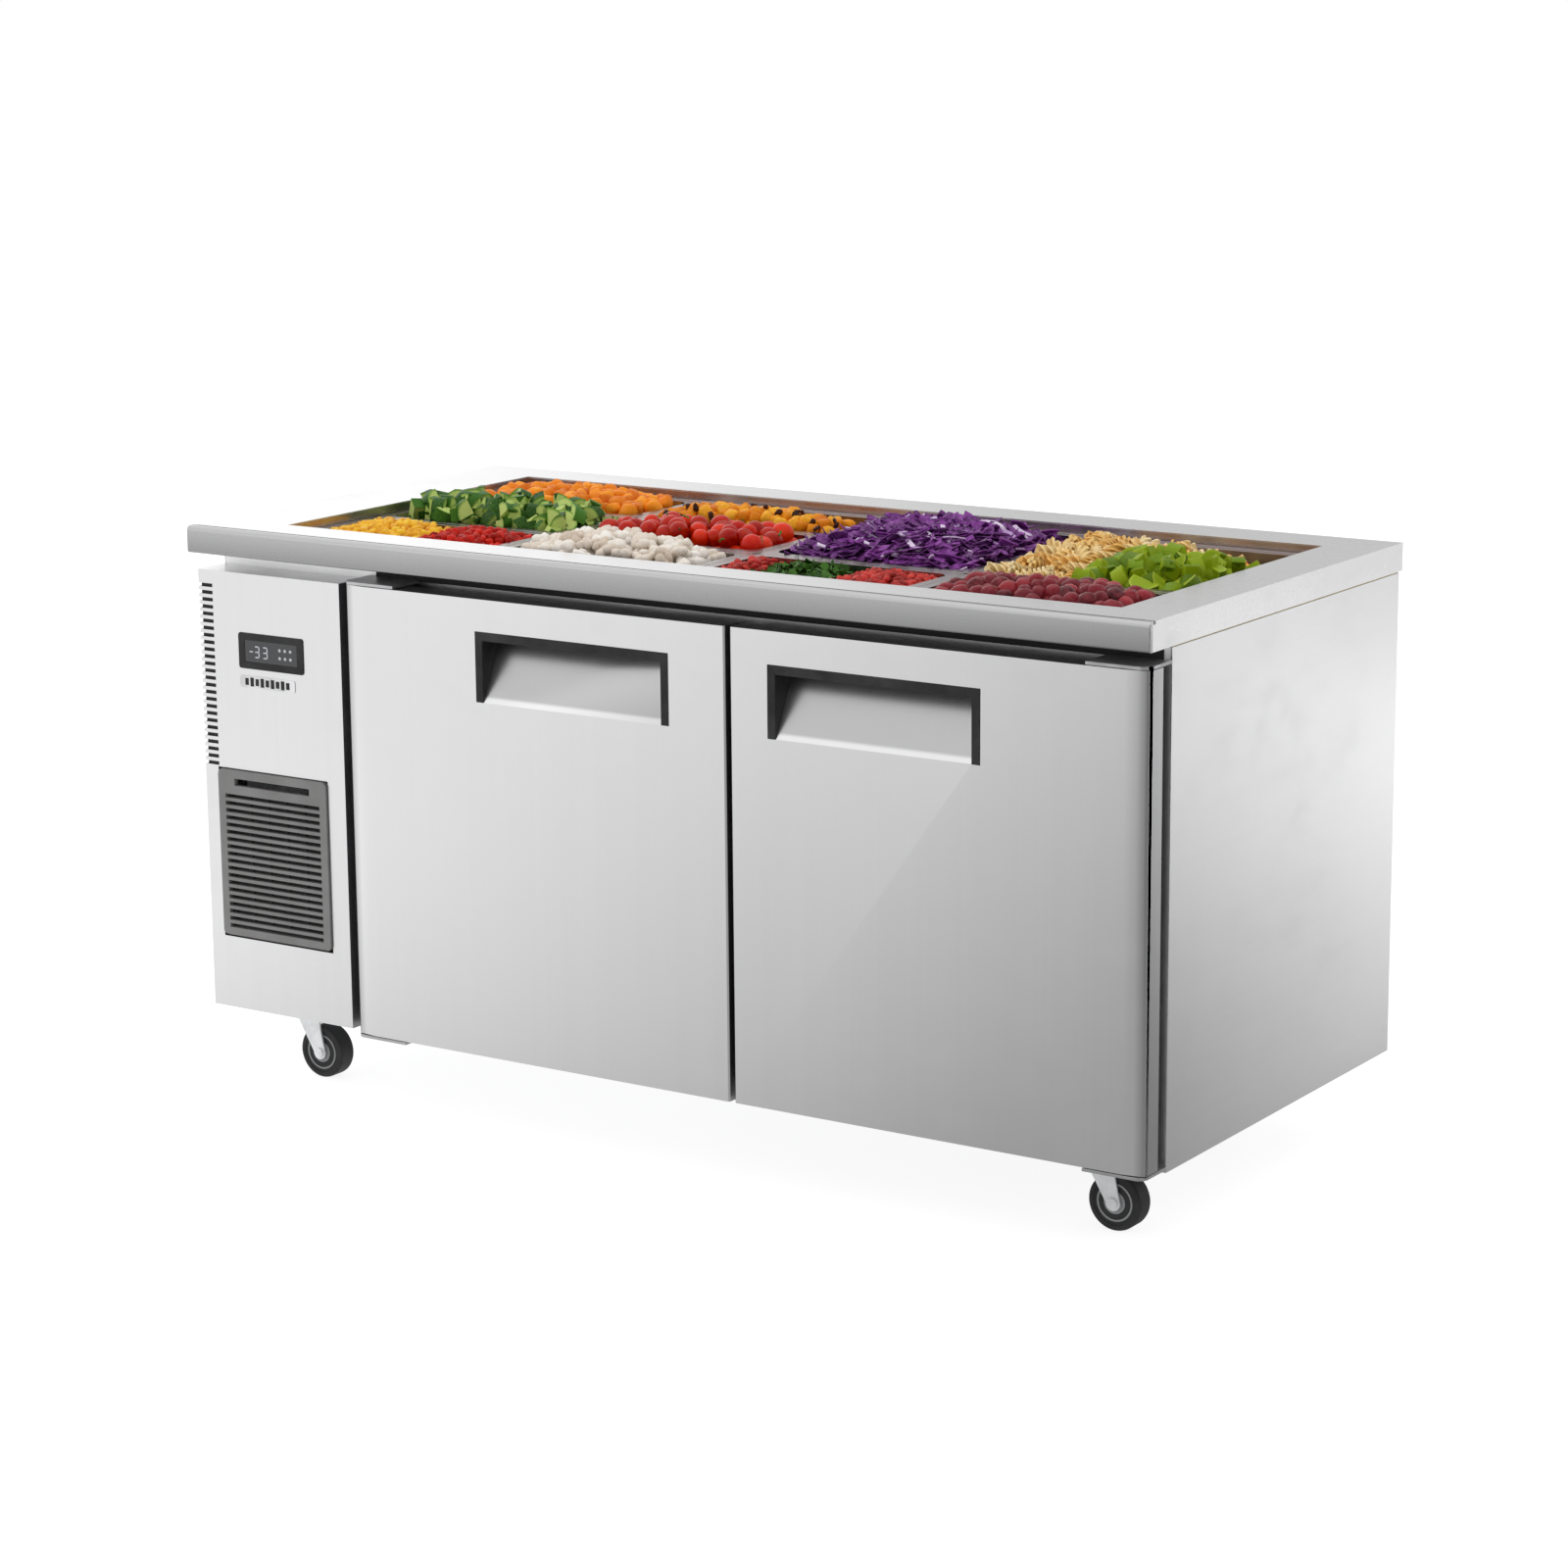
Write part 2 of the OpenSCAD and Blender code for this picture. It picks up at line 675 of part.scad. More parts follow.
module shelf_posts() {
    clip_h = 5;
    color([0.7, 0.71, 0.72])
        for (x = post_x, y = post_y) {
            block([x, y, store_z0], [x + post_w, y + post_w, well_floor_z - 12]);
            inward = y == post_y[0] ? 1 : -1;
            for (side = [x > post_x[0] ? -1 : 0, x < post_x[2] ? 1 : 0])
                if (side != 0)
                    translate([x + post_w / 2 + side * (post_w / 2 + 5), y + post_w / 2 + inward * 4,
                        shelf_z - rail_r - clip_h / 2])
                        cube([12, post_w + 8, clip_h], center = true);
        }
}

// ---- refrigeration ----

// Fan rotor about +Z, from z = 0
module rotor(r, hub_r, depth, bore) {
    difference() {
        union() {
            cylinder(h = depth, r = hub_r);
            for (a = [0:72:288])
                rotate([0, 0, a]) translate([hub_r - 3, 0, depth / 2]) rotate([32, 0, 0])
                    translate([0, -r * 0.24, -0.8]) cube([r - hub_r, r * 0.48, 1.6]);
        }
        translate([0, 0, -1]) cylinder(h = depth + 2, r = bore);
    }
}

// Finned block: fins across X between two end plates, with tube bends at its ends
module finned_coil(size, fins, rows) {
    step = size.x / (fins - 1);
    for (i = [0:fins - 1])
        translate([i * step, 0, 0]) cube([i == 0 || i == fins - 1 ? 1.5 : 0.8, size.y, size.z]);
    for (k = [0:rows - 1])
        translate([-8, size.y / 2, (k + 0.5) * size.z / rows]) rotate([0, 90, 0])
            cylinder(h = size.x + 16, r = 4);
}

module condenser_coil() {
    size = [190, 42, condenser_h];
    color([0.55, 0.5, 0.42])
        translate([unit_x - size.x / 2, condenser_y, tray_z + sheet_t]) finned_coil(size, 20, 6);
}

module fan_shroud() {
    w = 206;
    z = tray_z + sheet_t;
    color([0.25, 0.26, 0.27]) {
        difference() {
            block([unit_x - w / 2, shroud_y, z], [unit_x + w / 2, shroud_y + 32, z + shroud_h]);
            block([unit_x - w / 2 + 3, shroud_y - 1, z + 3],
                [unit_x + w / 2 - 3, shroud_y + 29, z + shroud_h - 3]);
            translate([unit_x, shroud_y, fan_z]) rotate([-90, 0, 0]) cylinder(h = 60, r = fan_r + 4);
        }
        for (a = [0, 90])
            translate([unit_x, shroud_y + 34, fan_z]) rotate([0, a, 0])
                cube([2 * fan_r + 14, 4, 8], center = true);
        translate([unit_x, shroud_y + 32, fan_z]) rotate([-90, 0, 0]) cylinder(h = 40, r = 26);
        translate([unit_x, shroud_y + 4, fan_z]) rotate([-90, 0, 0]) cylinder(h = 30, r = 3);
    }
}

module condenser_fan() {
    color([0.15, 0.15, 0.16])
        translate([unit_x, shroud_y + 8, fan_z]) rotate([-90, 0, 0]) rotor(fan_r, 20, 20, 3 + run_clear);
}

module compressor() {
    color(dark) translate([unit_x, compressor_y, compressor_z]) {
        cylinder(h = compressor_h - 25, r = compressor_r);
        translate([0, 0, compressor_h - 25]) cylinder(h = 14, r1 = compressor_r, r2 = compressor_r - 14);
        translate([0, 0, compressor_h - 11]) cylinder(h = 8, r1 = compressor_r - 14, r2 = compressor_r - 40);
        for (a = [45:90:315])
            rotate([0, 0, a]) translate([compressor_r + 4, 0, -12]) cylinder(h = 16, r = 11);
        translate([compressor_r - 12, -20, 50]) cube([26, 40, 55]);
    }
}

module unit_tray() {
    color([0.6, 0.61, 0.62]) difference() {
        block([cab_x0 + 8, frame_y1 + 4, tray_z - 3], [cover_x1 - 2, compressor_y + 170, tray_z + 22]);
        block([cab_x0 + 10, frame_y1 - 4, tray_z + sheet_t], [cover_x1 - 4, compressor_y + 168, tray_z + 30]);
    }
}

// Straight pipe lengths with ball joints through a list of points
module pipe(points, r) {
    for (i = [0:len(points) - 2]) {
        d = points[i + 1] - points[i];
        translate(points[i]) rotate([0, acos(d.z / norm(d)), atan2(d.y, d.x)])
            cylinder(h = norm(d), r = r);
    }
    for (i = [1:len(points) - 2]) translate(points[i]) sphere(r);
}

// Suction line from the evaporator, through the partition, to the machine compartment
suction_z = 500;
suction_y = 160;
module suction_line(r) {
    x = unit_x + 18;
    y = compressor_y + 12;
    pipe([[store_x0 + coil_in, suction_y, suction_z], [x, suction_y, suction_z],
        [x, suction_y, suction_z - 80], [x, y, suction_z - 80], [x, y, compressor_top]], r);
}

module refrigerant_pipes() {
    bend_z = compressor_top + 60;
    x = unit_x - 18;
    y = compressor_y - 12;
    drier_x = unit_x - 80;
    color([0.72, 0.45, 0.28]) {
        suction_line(pipe_r);
        pipe([[x, y, compressor_top], [x, y, bend_z], [drier_x, y, bend_z],
            [drier_x, condenser_y + 21, bend_z], [drier_x, condenser_y + 21, condenser_top]], pipe_r);
        translate([drier_x, y - 20, bend_z]) rotate([90, 0, 0]) cylinder(h = 95, r = 11);
    }
}

module control_box() {
    color([0.35, 0.36, 0.38]) {
        block([unit_x - 95, face_y + 20, box_z], [unit_x + 80, face_y + 140, box_z + box_h]);
        block([unit_x - 90, face_y + 10, box_z + 10], [unit_x + 75, face_y + 20, box_z + box_h - 10]);
        for (z = [box_z + 20, box_z + box_h - 40])
            block([cab_x0 + sheet_t, face_y + 40, z], [unit_x - 95, face_y + 120, z + 20]);
    }
}

module evaporator_housing() {
    t = sheet_t;
    half_d = evap_d / 2;
    z0 = evap_z - evap_h / 2;
    color([0.8, 0.81, 0.82]) {
        difference() {
            block([store_x0, evap_y - half_d, z0], [evap_x1, evap_y + half_d, z0 + evap_h]);
            block([store_x0 - 1, evap_y - half_d + t, z0 + t],
                [evap_x1 - t, evap_y + half_d - t, z0 + evap_h - t]);
            translate([evap_x1 - 10, evap_y, evap_z]) rotate([0, 90, 0]) cylinder(h = 20, r = evap_fan_r + 4);
            for (i = [0:6])
                block([evap_x1 - 5, evap_y - half_d + 20, z0 + 12 + i * 9],
                    [evap_x1 + 5, evap_y + half_d - 20, z0 + 16 + i * 9]);
        }
        block([evap_x1 - 37, evap_y - 10, z0 + t], [evap_x1 - 34, evap_y + 10, z0 + evap_h - t]);
        translate([evap_x1 - 36, evap_y, evap_z]) rotate([0, 90, 0]) {
            cylinder(h = 11, r = 20);
            cylinder(h = 32, r = evap_shaft_r);
        }
    }
}

module evaporator_coil() {
    size = [evap_d - 40, 40, evap_h - 30];
    color([0.75, 0.76, 0.77])
        translate([store_x0 + coil_in + size.y, evap_y - size.x / 2, evap_z - size.z / 2])
            rotate([0, 0, 90]) finned_coil(size, 22, 6);
}

module evaporator_fan() {
    color([0.18, 0.18, 0.2])
        translate([evap_x1 - 22, evap_y, evap_z]) rotate([0, 90, 0])
            rotor(evap_fan_r, 15, 14, evap_shaft_r + run_clear);
}

gland_x = unit_x - 60;
gland_z = base_z + 330;
gland_r = 9;
module cable_gland() {
    color(dark) translate([gland_x, cab_y1 + rear_overhang - 1, gland_z]) rotate([90, 0, 0]) {
        difference() {
            union() {
                cylinder(h = rear_overhang - 1, r = 14, $fn = 6);
                cylinder(h = rear_overhang + 14, r = gland_r - 0.2);
            }
            translate([0, 0, -2]) cylinder(h = rear_overhang + 20, r = 5);
        }
        translate([0, 0, rear_overhang + sheet_t - 1]) difference() {
            cylinder(h = 5, r = 13, $fn = 6);
            translate([0, 0, -1]) cylinder(h = 10, r = gland_r - 0.2);
        }
    }
}

// ---- casters ----

module caster_plates() {
    color([0.72, 0.72, 0.74])
        for (i = [0:3]) translate([caster_x[i > 2 ? 2 : i % 2], caster_y[i > 1 ? 1 : 0], 0]) {
            translate([0, 0, plate_z]) linear_extrude(plate_t) round_rect(92, 72, 6);
            translate([0, 0, plate_z - race_h]) cylinder(h = race_h, r = 22);
            translate([0, 0, crown_z0 - 4]) cylinder(h = plate_z - crown_z0 + 4, r = king_r);
            translate([0, 0, crown_z0 - 4.4]) cylinder(h = 4, r = 9);
        }
}

module fork(x, y, brake) {
    color([0.75, 0.75, 0.77]) translate([x, y, 0]) {
        difference() {
            union() {
                translate([0, 0, crown_z0]) cylinder(h = crown_h, r = 25);
                for (s = [-1, 1])
                    facing(s * (leg_y + leg_t / 2) - leg_t / 2, leg_t) {
                        polygon([[-20, crown_z0 + 4], [20, crown_z0 + 4], [trail + 10, wheel_r],
                            [trail - 10, wheel_r]]);
                        translate([trail, wheel_r]) circle(10);
                    }
                if (brake)
                    for (s = [-1, 1])
                        facing(s * (leg_y + leg_t / 2) - leg_t / 2, leg_t)
                            polygon([[-12, crown_z0 + 8], [-12, crown_z0 - 3], [pedal_x - 5, pedal_z - 5],
                                [pedal_x - 5, pedal_z + 5], [-16, crown_z0 + 8]]);
            }
            translate([0, 0, crown_z0 - 1]) cylinder(h = crown_h + 2, r = king_r + run_clear);
        }
        translate([trail, leg_y + leg_t + 3, wheel_r]) rotate([90, 0, 0])
            cylinder(h = 2 * (leg_y + leg_t + 3), r = axle_r);
        for (s = [-1, 1])
            translate([trail, s * (leg_y + leg_t + 1.5), wheel_r]) rotate([90, 0, 0])
                cylinder(h = 3, r = 7, center = true);
        if (brake)
            translate([pedal_x, leg_y + eps, pedal_z]) rotate([90, 0, 0])
                cylinder(h = 2 * leg_y + 2 * eps, r = pedal_r);
    }
}

module wheel(x, y) {
    hub_w = wheel_w + 1;
    color(dark) translate([x + trail, y, wheel_r]) rotate([90, 0, 0]) difference() {
        rotate_extrude() {
            difference() {
                translate([0, -wheel_w / 2]) square([wheel_r, wheel_w]);
                translate([wheel_r, -wheel_w / 2]) rotate(45) square(6, center = true);
                translate([wheel_r, wheel_w / 2]) rotate(45) square(6, center = true);
                for (s = [-1, 1])
                    translate([16, s * wheel_w / 2 - 3]) square([wheel_r - 16 - 9, 6]);
            }
            translate([0, -hub_w / 2]) square([11, hub_w]);
        }
        cylinder(h = hub_w + 2, r = axle_r + run_clear, center = true);
    }
}

module brake_pedal(x, y) {
    half = leg_y - 0.7;
    color([0.8, 0.8, 0.82]) translate([x + pedal_x, y, pedal_z]) difference() {
        union() {
            rotate([90, 0, 0]) cylinder(h = 2 * half, r = 5, center = true);
            block([-28, -half, -3], [0, half, 0]);
            block([-28, -half, -3], [-24, half, 4]);
        }
        rotate([90, 0, 0]) cylinder(h = 3 * half, r = pedal_r + run_clear, center = true);
    }
}

worktop();
well_frame();
pan_bars();
side_panel_left();
side_panel_right();
back_panel();
base_panel();
front_frame();
inner_liner();
insulation();
compressor_cover();
controller_housing();
display_lens();
name_plate();
upper_hinge_brackets();
lower_hinge_brackets();
wire_shelves();
shelf_posts();
cable_gland();
caster_plates();
evaporator_coil();
evaporator_housing();
compressor();
condenser_coil();
fan_shroud();
unit_tray();
refrigerant_pipes();
control_box();
evaporator_fan();
condenser_fan();
door_skin(-1);  // door_left_skin
door_liner(-1);  // door_left_liner
door_gasket(-1);  // door_left_gasket
door_handle(-1);  // door_left_handle
door_skin(1);  // door_right_skin
door_liner(1);  // door_right_liner
door_gasket(1);  // door_right_gasket
door_handle(1);  // door_right_handle
grille();
air_filter();
fork(caster_x[0], caster_y[0], true);  // fork_front_left
fork(caster_x[1], caster_y[0], true);  // fork_front_right
fork(caster_x[0], caster_y[1], false);  // fork_rear_left
fork(caster_x[2], caster_y[1], false);  // fork_rear_right
wheel(caster_x[0], caster_y[0]);  // wheel_front_left
wheel(caster_x[1], caster_y[0]);  // wheel_front_right
wheel(caster_x[0], caster_y[1]);  // wheel_rear_left
wheel(caster_x[2], caster_y[1]);  // wheel_rear_right
brake_pedal(caster_x[0], caster_y[0]);  // brake_pedal_left
brake_pedal(caster_x[1], caster_y[0]);  // brake_pedal_right
pan(0, 0, 1);  // pan_1_front
pan(0, 1, 1);  // pan_1_middle
pan(0, 2, 1);  // pan_1_rear
pan(1, 0, 1);  // pan_2_front
pan(1, 1, 1);  // pan_2_middle
pan(1, 2, 1);  // pan_2_rear
pan(2, 0, 1);  // pan_3_front
pan(2, 1, 2);  // pan_3_rear
pan(3, 0, 1);  // pan_4_front
pan(3, 1, 2);  // pan_4_rear
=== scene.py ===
"""Finishes, wheels, seals, display and pan fillings of a sandwich prep table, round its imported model."""
import json
import math
import random

import bpy
import numpy as np
from bpy.props import FloatProperty, FloatVectorProperty, IntProperty, PointerProperty
from mathutils import Euler, Matrix, Vector


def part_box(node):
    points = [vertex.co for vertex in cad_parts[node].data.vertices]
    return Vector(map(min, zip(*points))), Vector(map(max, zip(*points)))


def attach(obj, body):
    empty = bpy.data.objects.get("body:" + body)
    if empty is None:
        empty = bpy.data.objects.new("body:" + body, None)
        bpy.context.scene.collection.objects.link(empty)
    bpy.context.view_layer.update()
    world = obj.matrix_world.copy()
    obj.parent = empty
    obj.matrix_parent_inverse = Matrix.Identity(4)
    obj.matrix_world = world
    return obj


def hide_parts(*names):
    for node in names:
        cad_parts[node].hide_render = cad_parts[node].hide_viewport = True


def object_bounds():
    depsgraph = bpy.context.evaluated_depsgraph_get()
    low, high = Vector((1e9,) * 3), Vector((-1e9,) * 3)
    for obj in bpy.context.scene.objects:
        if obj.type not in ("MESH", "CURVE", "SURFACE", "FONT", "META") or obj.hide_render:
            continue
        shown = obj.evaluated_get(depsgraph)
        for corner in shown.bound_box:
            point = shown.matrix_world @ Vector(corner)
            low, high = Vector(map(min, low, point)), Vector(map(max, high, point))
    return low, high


bl_info = {
    "name": "Sandwich Prep Table",
    "version": (1, 0, 0),
    "blender": (4, 5, 0),
    "location": "View3D > Sidebar > Prep Table",
    "description": "Finishes, casters, door seals, display and pan fillings of a prep table",
    "category": "Object",
}

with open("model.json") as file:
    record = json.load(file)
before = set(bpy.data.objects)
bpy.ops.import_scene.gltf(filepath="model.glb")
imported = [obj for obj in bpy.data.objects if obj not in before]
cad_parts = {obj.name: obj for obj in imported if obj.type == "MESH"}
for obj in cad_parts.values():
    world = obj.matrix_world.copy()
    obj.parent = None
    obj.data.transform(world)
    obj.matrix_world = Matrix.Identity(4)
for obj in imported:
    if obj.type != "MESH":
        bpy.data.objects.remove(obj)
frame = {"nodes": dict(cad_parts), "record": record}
CAD_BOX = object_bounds()
WORKTOP_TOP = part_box("worktop")[1][2]

X, Y, Z = Vector((1, 0, 0)), Vector((0, 1, 0)), Vector((0, 0, 1))


# ---- sizes and colours a user would change ----

def colour(name, description, value):
    return FloatVectorProperty(name=name, description=description, default=value, size=3,
                               subtype="COLOR", min=0, max=1)


def length(name, description, value):
    return FloatProperty(name=name, description=description, default=value, unit="LENGTH",
                         subtype="DISTANCE", min=0)


class PrepTableFinish(bpy.types.PropertyGroup):
    steel: colour("Steel", "Colour of the satin stainless sheet", (0.70, 0.70, 0.705))
    steel_roughness: FloatProperty(name="Steel roughness", description="Roughness of the satin sheet",
                                   default=0.30, min=0, max=1, subtype="FACTOR")
    plastic: colour("Black plastic", "Colour of the handle trims and the controller", (0.012, 0.012, 0.013))
    grille: colour("Grille", "Colour of the air grille", (0.155, 0.152, 0.15))
    rubber: colour("Rubber", "Colour of the seals and tyres", (0.016, 0.016, 0.017))
    edge: length("Edge radius", "Rounding of folded sheet edges", 0.0006)


class PrepTableFood(bpy.types.PropertyGroup):
    seed: IntProperty(name="Seed", description="Start of the random order of the fillings", default=7, min=0)
    crown: FloatProperty(name="Crown", description="Height of the heaps against their usual height",
                         default=1.0, min=0.2, max=1.05, subtype="FACTOR")


class PrepTableStage(bpy.types.PropertyGroup):
    lens: FloatProperty(name="Lens", description="Focal length in millimetres", default=92.006, min=20)
    camera: FloatVectorProperty(name="Camera", description="Place of the camera",
                                default=(2.9509, -4.4533, 1.6267), size=3, unit="LENGTH", subtype="XYZ")
    azimuth: FloatProperty(name="Azimuth", description="Turn of the camera", default=math.radians(33.524),
                           unit="ROTATION", subtype="ANGLE")
    elevation: FloatProperty(name="Elevation", description="Downward tilt of the camera",
                             default=math.radians(12.37), unit="ROTATION", subtype="ANGLE")
    roll: FloatProperty(name="Roll", description="Roll of the camera", default=math.radians(-0.509),
                        unit="ROTATION", subtype="ANGLE")
    light: FloatProperty(name="Light", description="Strength of the studio light", default=1.0, min=0)


# ---- working with objects, as by hand ----

def deselect():
    bpy.ops.object.select_all(action="DESELECT")


def only(piece):
    deselect()
    piece.select_set(True)
    bpy.context.view_layer.objects.active = piece


def edit(piece, mode="VERT"):
    only(piece)
    bpy.ops.object.mode_set(mode="EDIT")
    bpy.ops.mesh.select_mode(type=mode)
    bpy.ops.mesh.select_all(action="DESELECT")
    bpy.ops.object.mode_set(mode="OBJECT")


def whole(piece, mode="VERT"):
    """Enters edit mode with all of the piece selected."""
    edit(piece, mode)
    bpy.ops.object.mode_set(mode="EDIT")
    bpy.ops.mesh.select_all(action="SELECT")


def pick(piece, test, mode="FACE"):
    """Selects the faces or vertices that pass the test, and enters edit mode."""
    edit(piece, mode)
    items = piece.data.polygons if mode == "FACE" else piece.data.vertices
    found = [i for i in items if test(i)]
    if not found:
        raise RuntimeError("nothing to shape on " + piece.name)
    for i in found:
        i.select = True
    bpy.ops.object.mode_set(mode="EDIT")


def done():
    bpy.ops.object.mode_set(mode="OBJECT")


def cut_across(piece, axis, start, span, parts):
    """Cuts a piece into even parts along an axis, without taking it apart."""
    for cut in range(1, parts):
        whole(piece)
        bpy.ops.mesh.bisect(plane_co=axis * (start + span * cut / parts), plane_no=axis)
        done()


def settle(piece):
    """Puts the object's place into its mesh."""
    only(piece)
    bpy.ops.object.transform_apply(location=True, rotation=True, scale=True)


def modify(piece, kind, **settings):
    only(piece)
    modifier = piece.modifiers.new(kind.title(), kind)
    for key, value in settings.items():
        setattr(modifier, key, value)
    bpy.ops.object.modifier_apply(modifier=modifier.name)


def smooth(piece, angle=35):
    only(piece)
    bpy.ops.object.shade_smooth_by_angle(angle=math.radians(angle))


def soften(piece, width, segments=2, angle=30, weighted=True):
    modify(piece, "BEVEL", width=width, segments=segments, limit_method="ANGLE",
           angle_limit=math.radians(angle), miter_outer="MITER_ARC", use_clamp_overlap=True)
    smooth(piece)
    if weighted:
        modify(piece, "WEIGHTED_NORMAL", keep_sharp=True)


def outward(piece):
    whole(piece, "FACE")
    bpy.ops.mesh.remove_doubles(threshold=1e-5)
    bpy.ops.mesh.normals_make_consistent(inside=False)
    done()


def box_piece(name, low, high):
    deselect()
    low, high = Vector(low), Vector(high)
    bpy.ops.mesh.primitive_cube_add(size=1, location=(low + high) / 2)
    piece = bpy.context.object
    piece.name = name
    piece.scale = high - low
    settle(piece)
    return piece


def rod(name, start, end, radius, sides=24):
    deselect()
    start, end = Vector(start), Vector(end)
    bpy.ops.mesh.primitive_cylinder_add(vertices=sides, radius=radius, depth=(end - start).length,
                                        location=(start + end) / 2)
    piece = bpy.context.object
    piece.name = name
    piece.rotation_euler = (end - start).to_track_quat("Z", "Y").to_euler()
    settle(piece)
    return piece


def paint(piece, *materials):
    piece.data.materials.clear()
    for material in materials:
        piece.data.materials.append(material)


def copy_of(template, matrix):
    piece = template.copy()
    piece.data = template.data.copy()
    piece.data.transform(matrix)
    bpy.context.scene.collection.objects.link(piece)
    return piece


def join(name, parts):
    deselect()
    for part in parts:
        part.select_set(True)
    bpy.context.view_layer.objects.active = parts[0]
    if len(parts) > 1:
        bpy.ops.object.join()
    parts[0].name = name
    parts[0].data.name = name
    return parts[0]


def discard(*pieces):
    for piece in pieces:
        bpy.data.objects.remove(piece)


def keep(piece, body, nodes=()):
    """Hands a finished piece to the frame."""
    only(piece)
    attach(piece, body)
    if nodes:
        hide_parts(*nodes)
    return piece


BODY_OF = {node: body for body, nodes in frame["record"]["behaviour"]["bodies"].items() for node in nodes}


def corners(node):
    """The low and the high corner of a CAD node's box."""
    return [Vector(corner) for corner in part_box(node)]


def surface(piece):
    """The area of all the piece's triangles."""
    piece.data.calc_loop_triangles()
    return sum(triangle.area for triangle in piece.data.loop_triangles)


def welded(node, name, flat):
    """A merged copy of a CAD node, with its flat faces made whole if asked."""
    cad = frame["nodes"][node]
    piece = cad.copy()
    piece.data = cad.data.copy()
    piece.name = name
    for key in list(piece.keys()):
        if key.startswith("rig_"):
            del piece[key]
    piece.parent = None
    piece.matrix_world = Matrix.Identity(4)
    bpy.context.scene.collection.objects.link(piece)
    whole(piece)
    bpy.ops.mesh.remove_doubles(threshold=2e-6)
    if flat:
        bpy.ops.mesh.dissolve_limited(angle_limit=math.radians(0.5))
    done()
    only(piece)
    if piece.data.has_custom_normals:
        bpy.ops.mesh.customdata_custom_splitnormals_clear()
    return piece


SAME_AREA = 0.0005
LEAST_CHANGE, MOST_CHANGE = -0.05, 0.004


def refined(node, material, edge=None, segments=2, angle=30):
    """A copy of a CAD node with its edges rounded, which stands for it.

    Merging flat faces can lay a skin over an opening, which the areas show, so then they stay unmerged.
    """
    right = surface(frame["nodes"][node])
    piece = None
    for flat in (True, False) if edge else ():
        piece = welded(node, node + "_finished", flat)
        same = abs(surface(piece) / right - 1) < SAME_AREA
        soften(piece, edge, segments, angle)
        if same and LEAST_CHANGE < surface(piece) / right - 1 < MOST_CHANGE:
            break
        discard(piece)
        piece = None
    if piece is None:
        piece = welded(node, node + "_finished", False)
        smooth(piece)
    paint(piece, material)
    return keep(piece, BODY_OF[node], (node,))


def dress(node, material):
    """Gives a CAD node that keeps its own mesh its finish."""
    paint(frame["nodes"][node], material)


# ---- shader groups ----

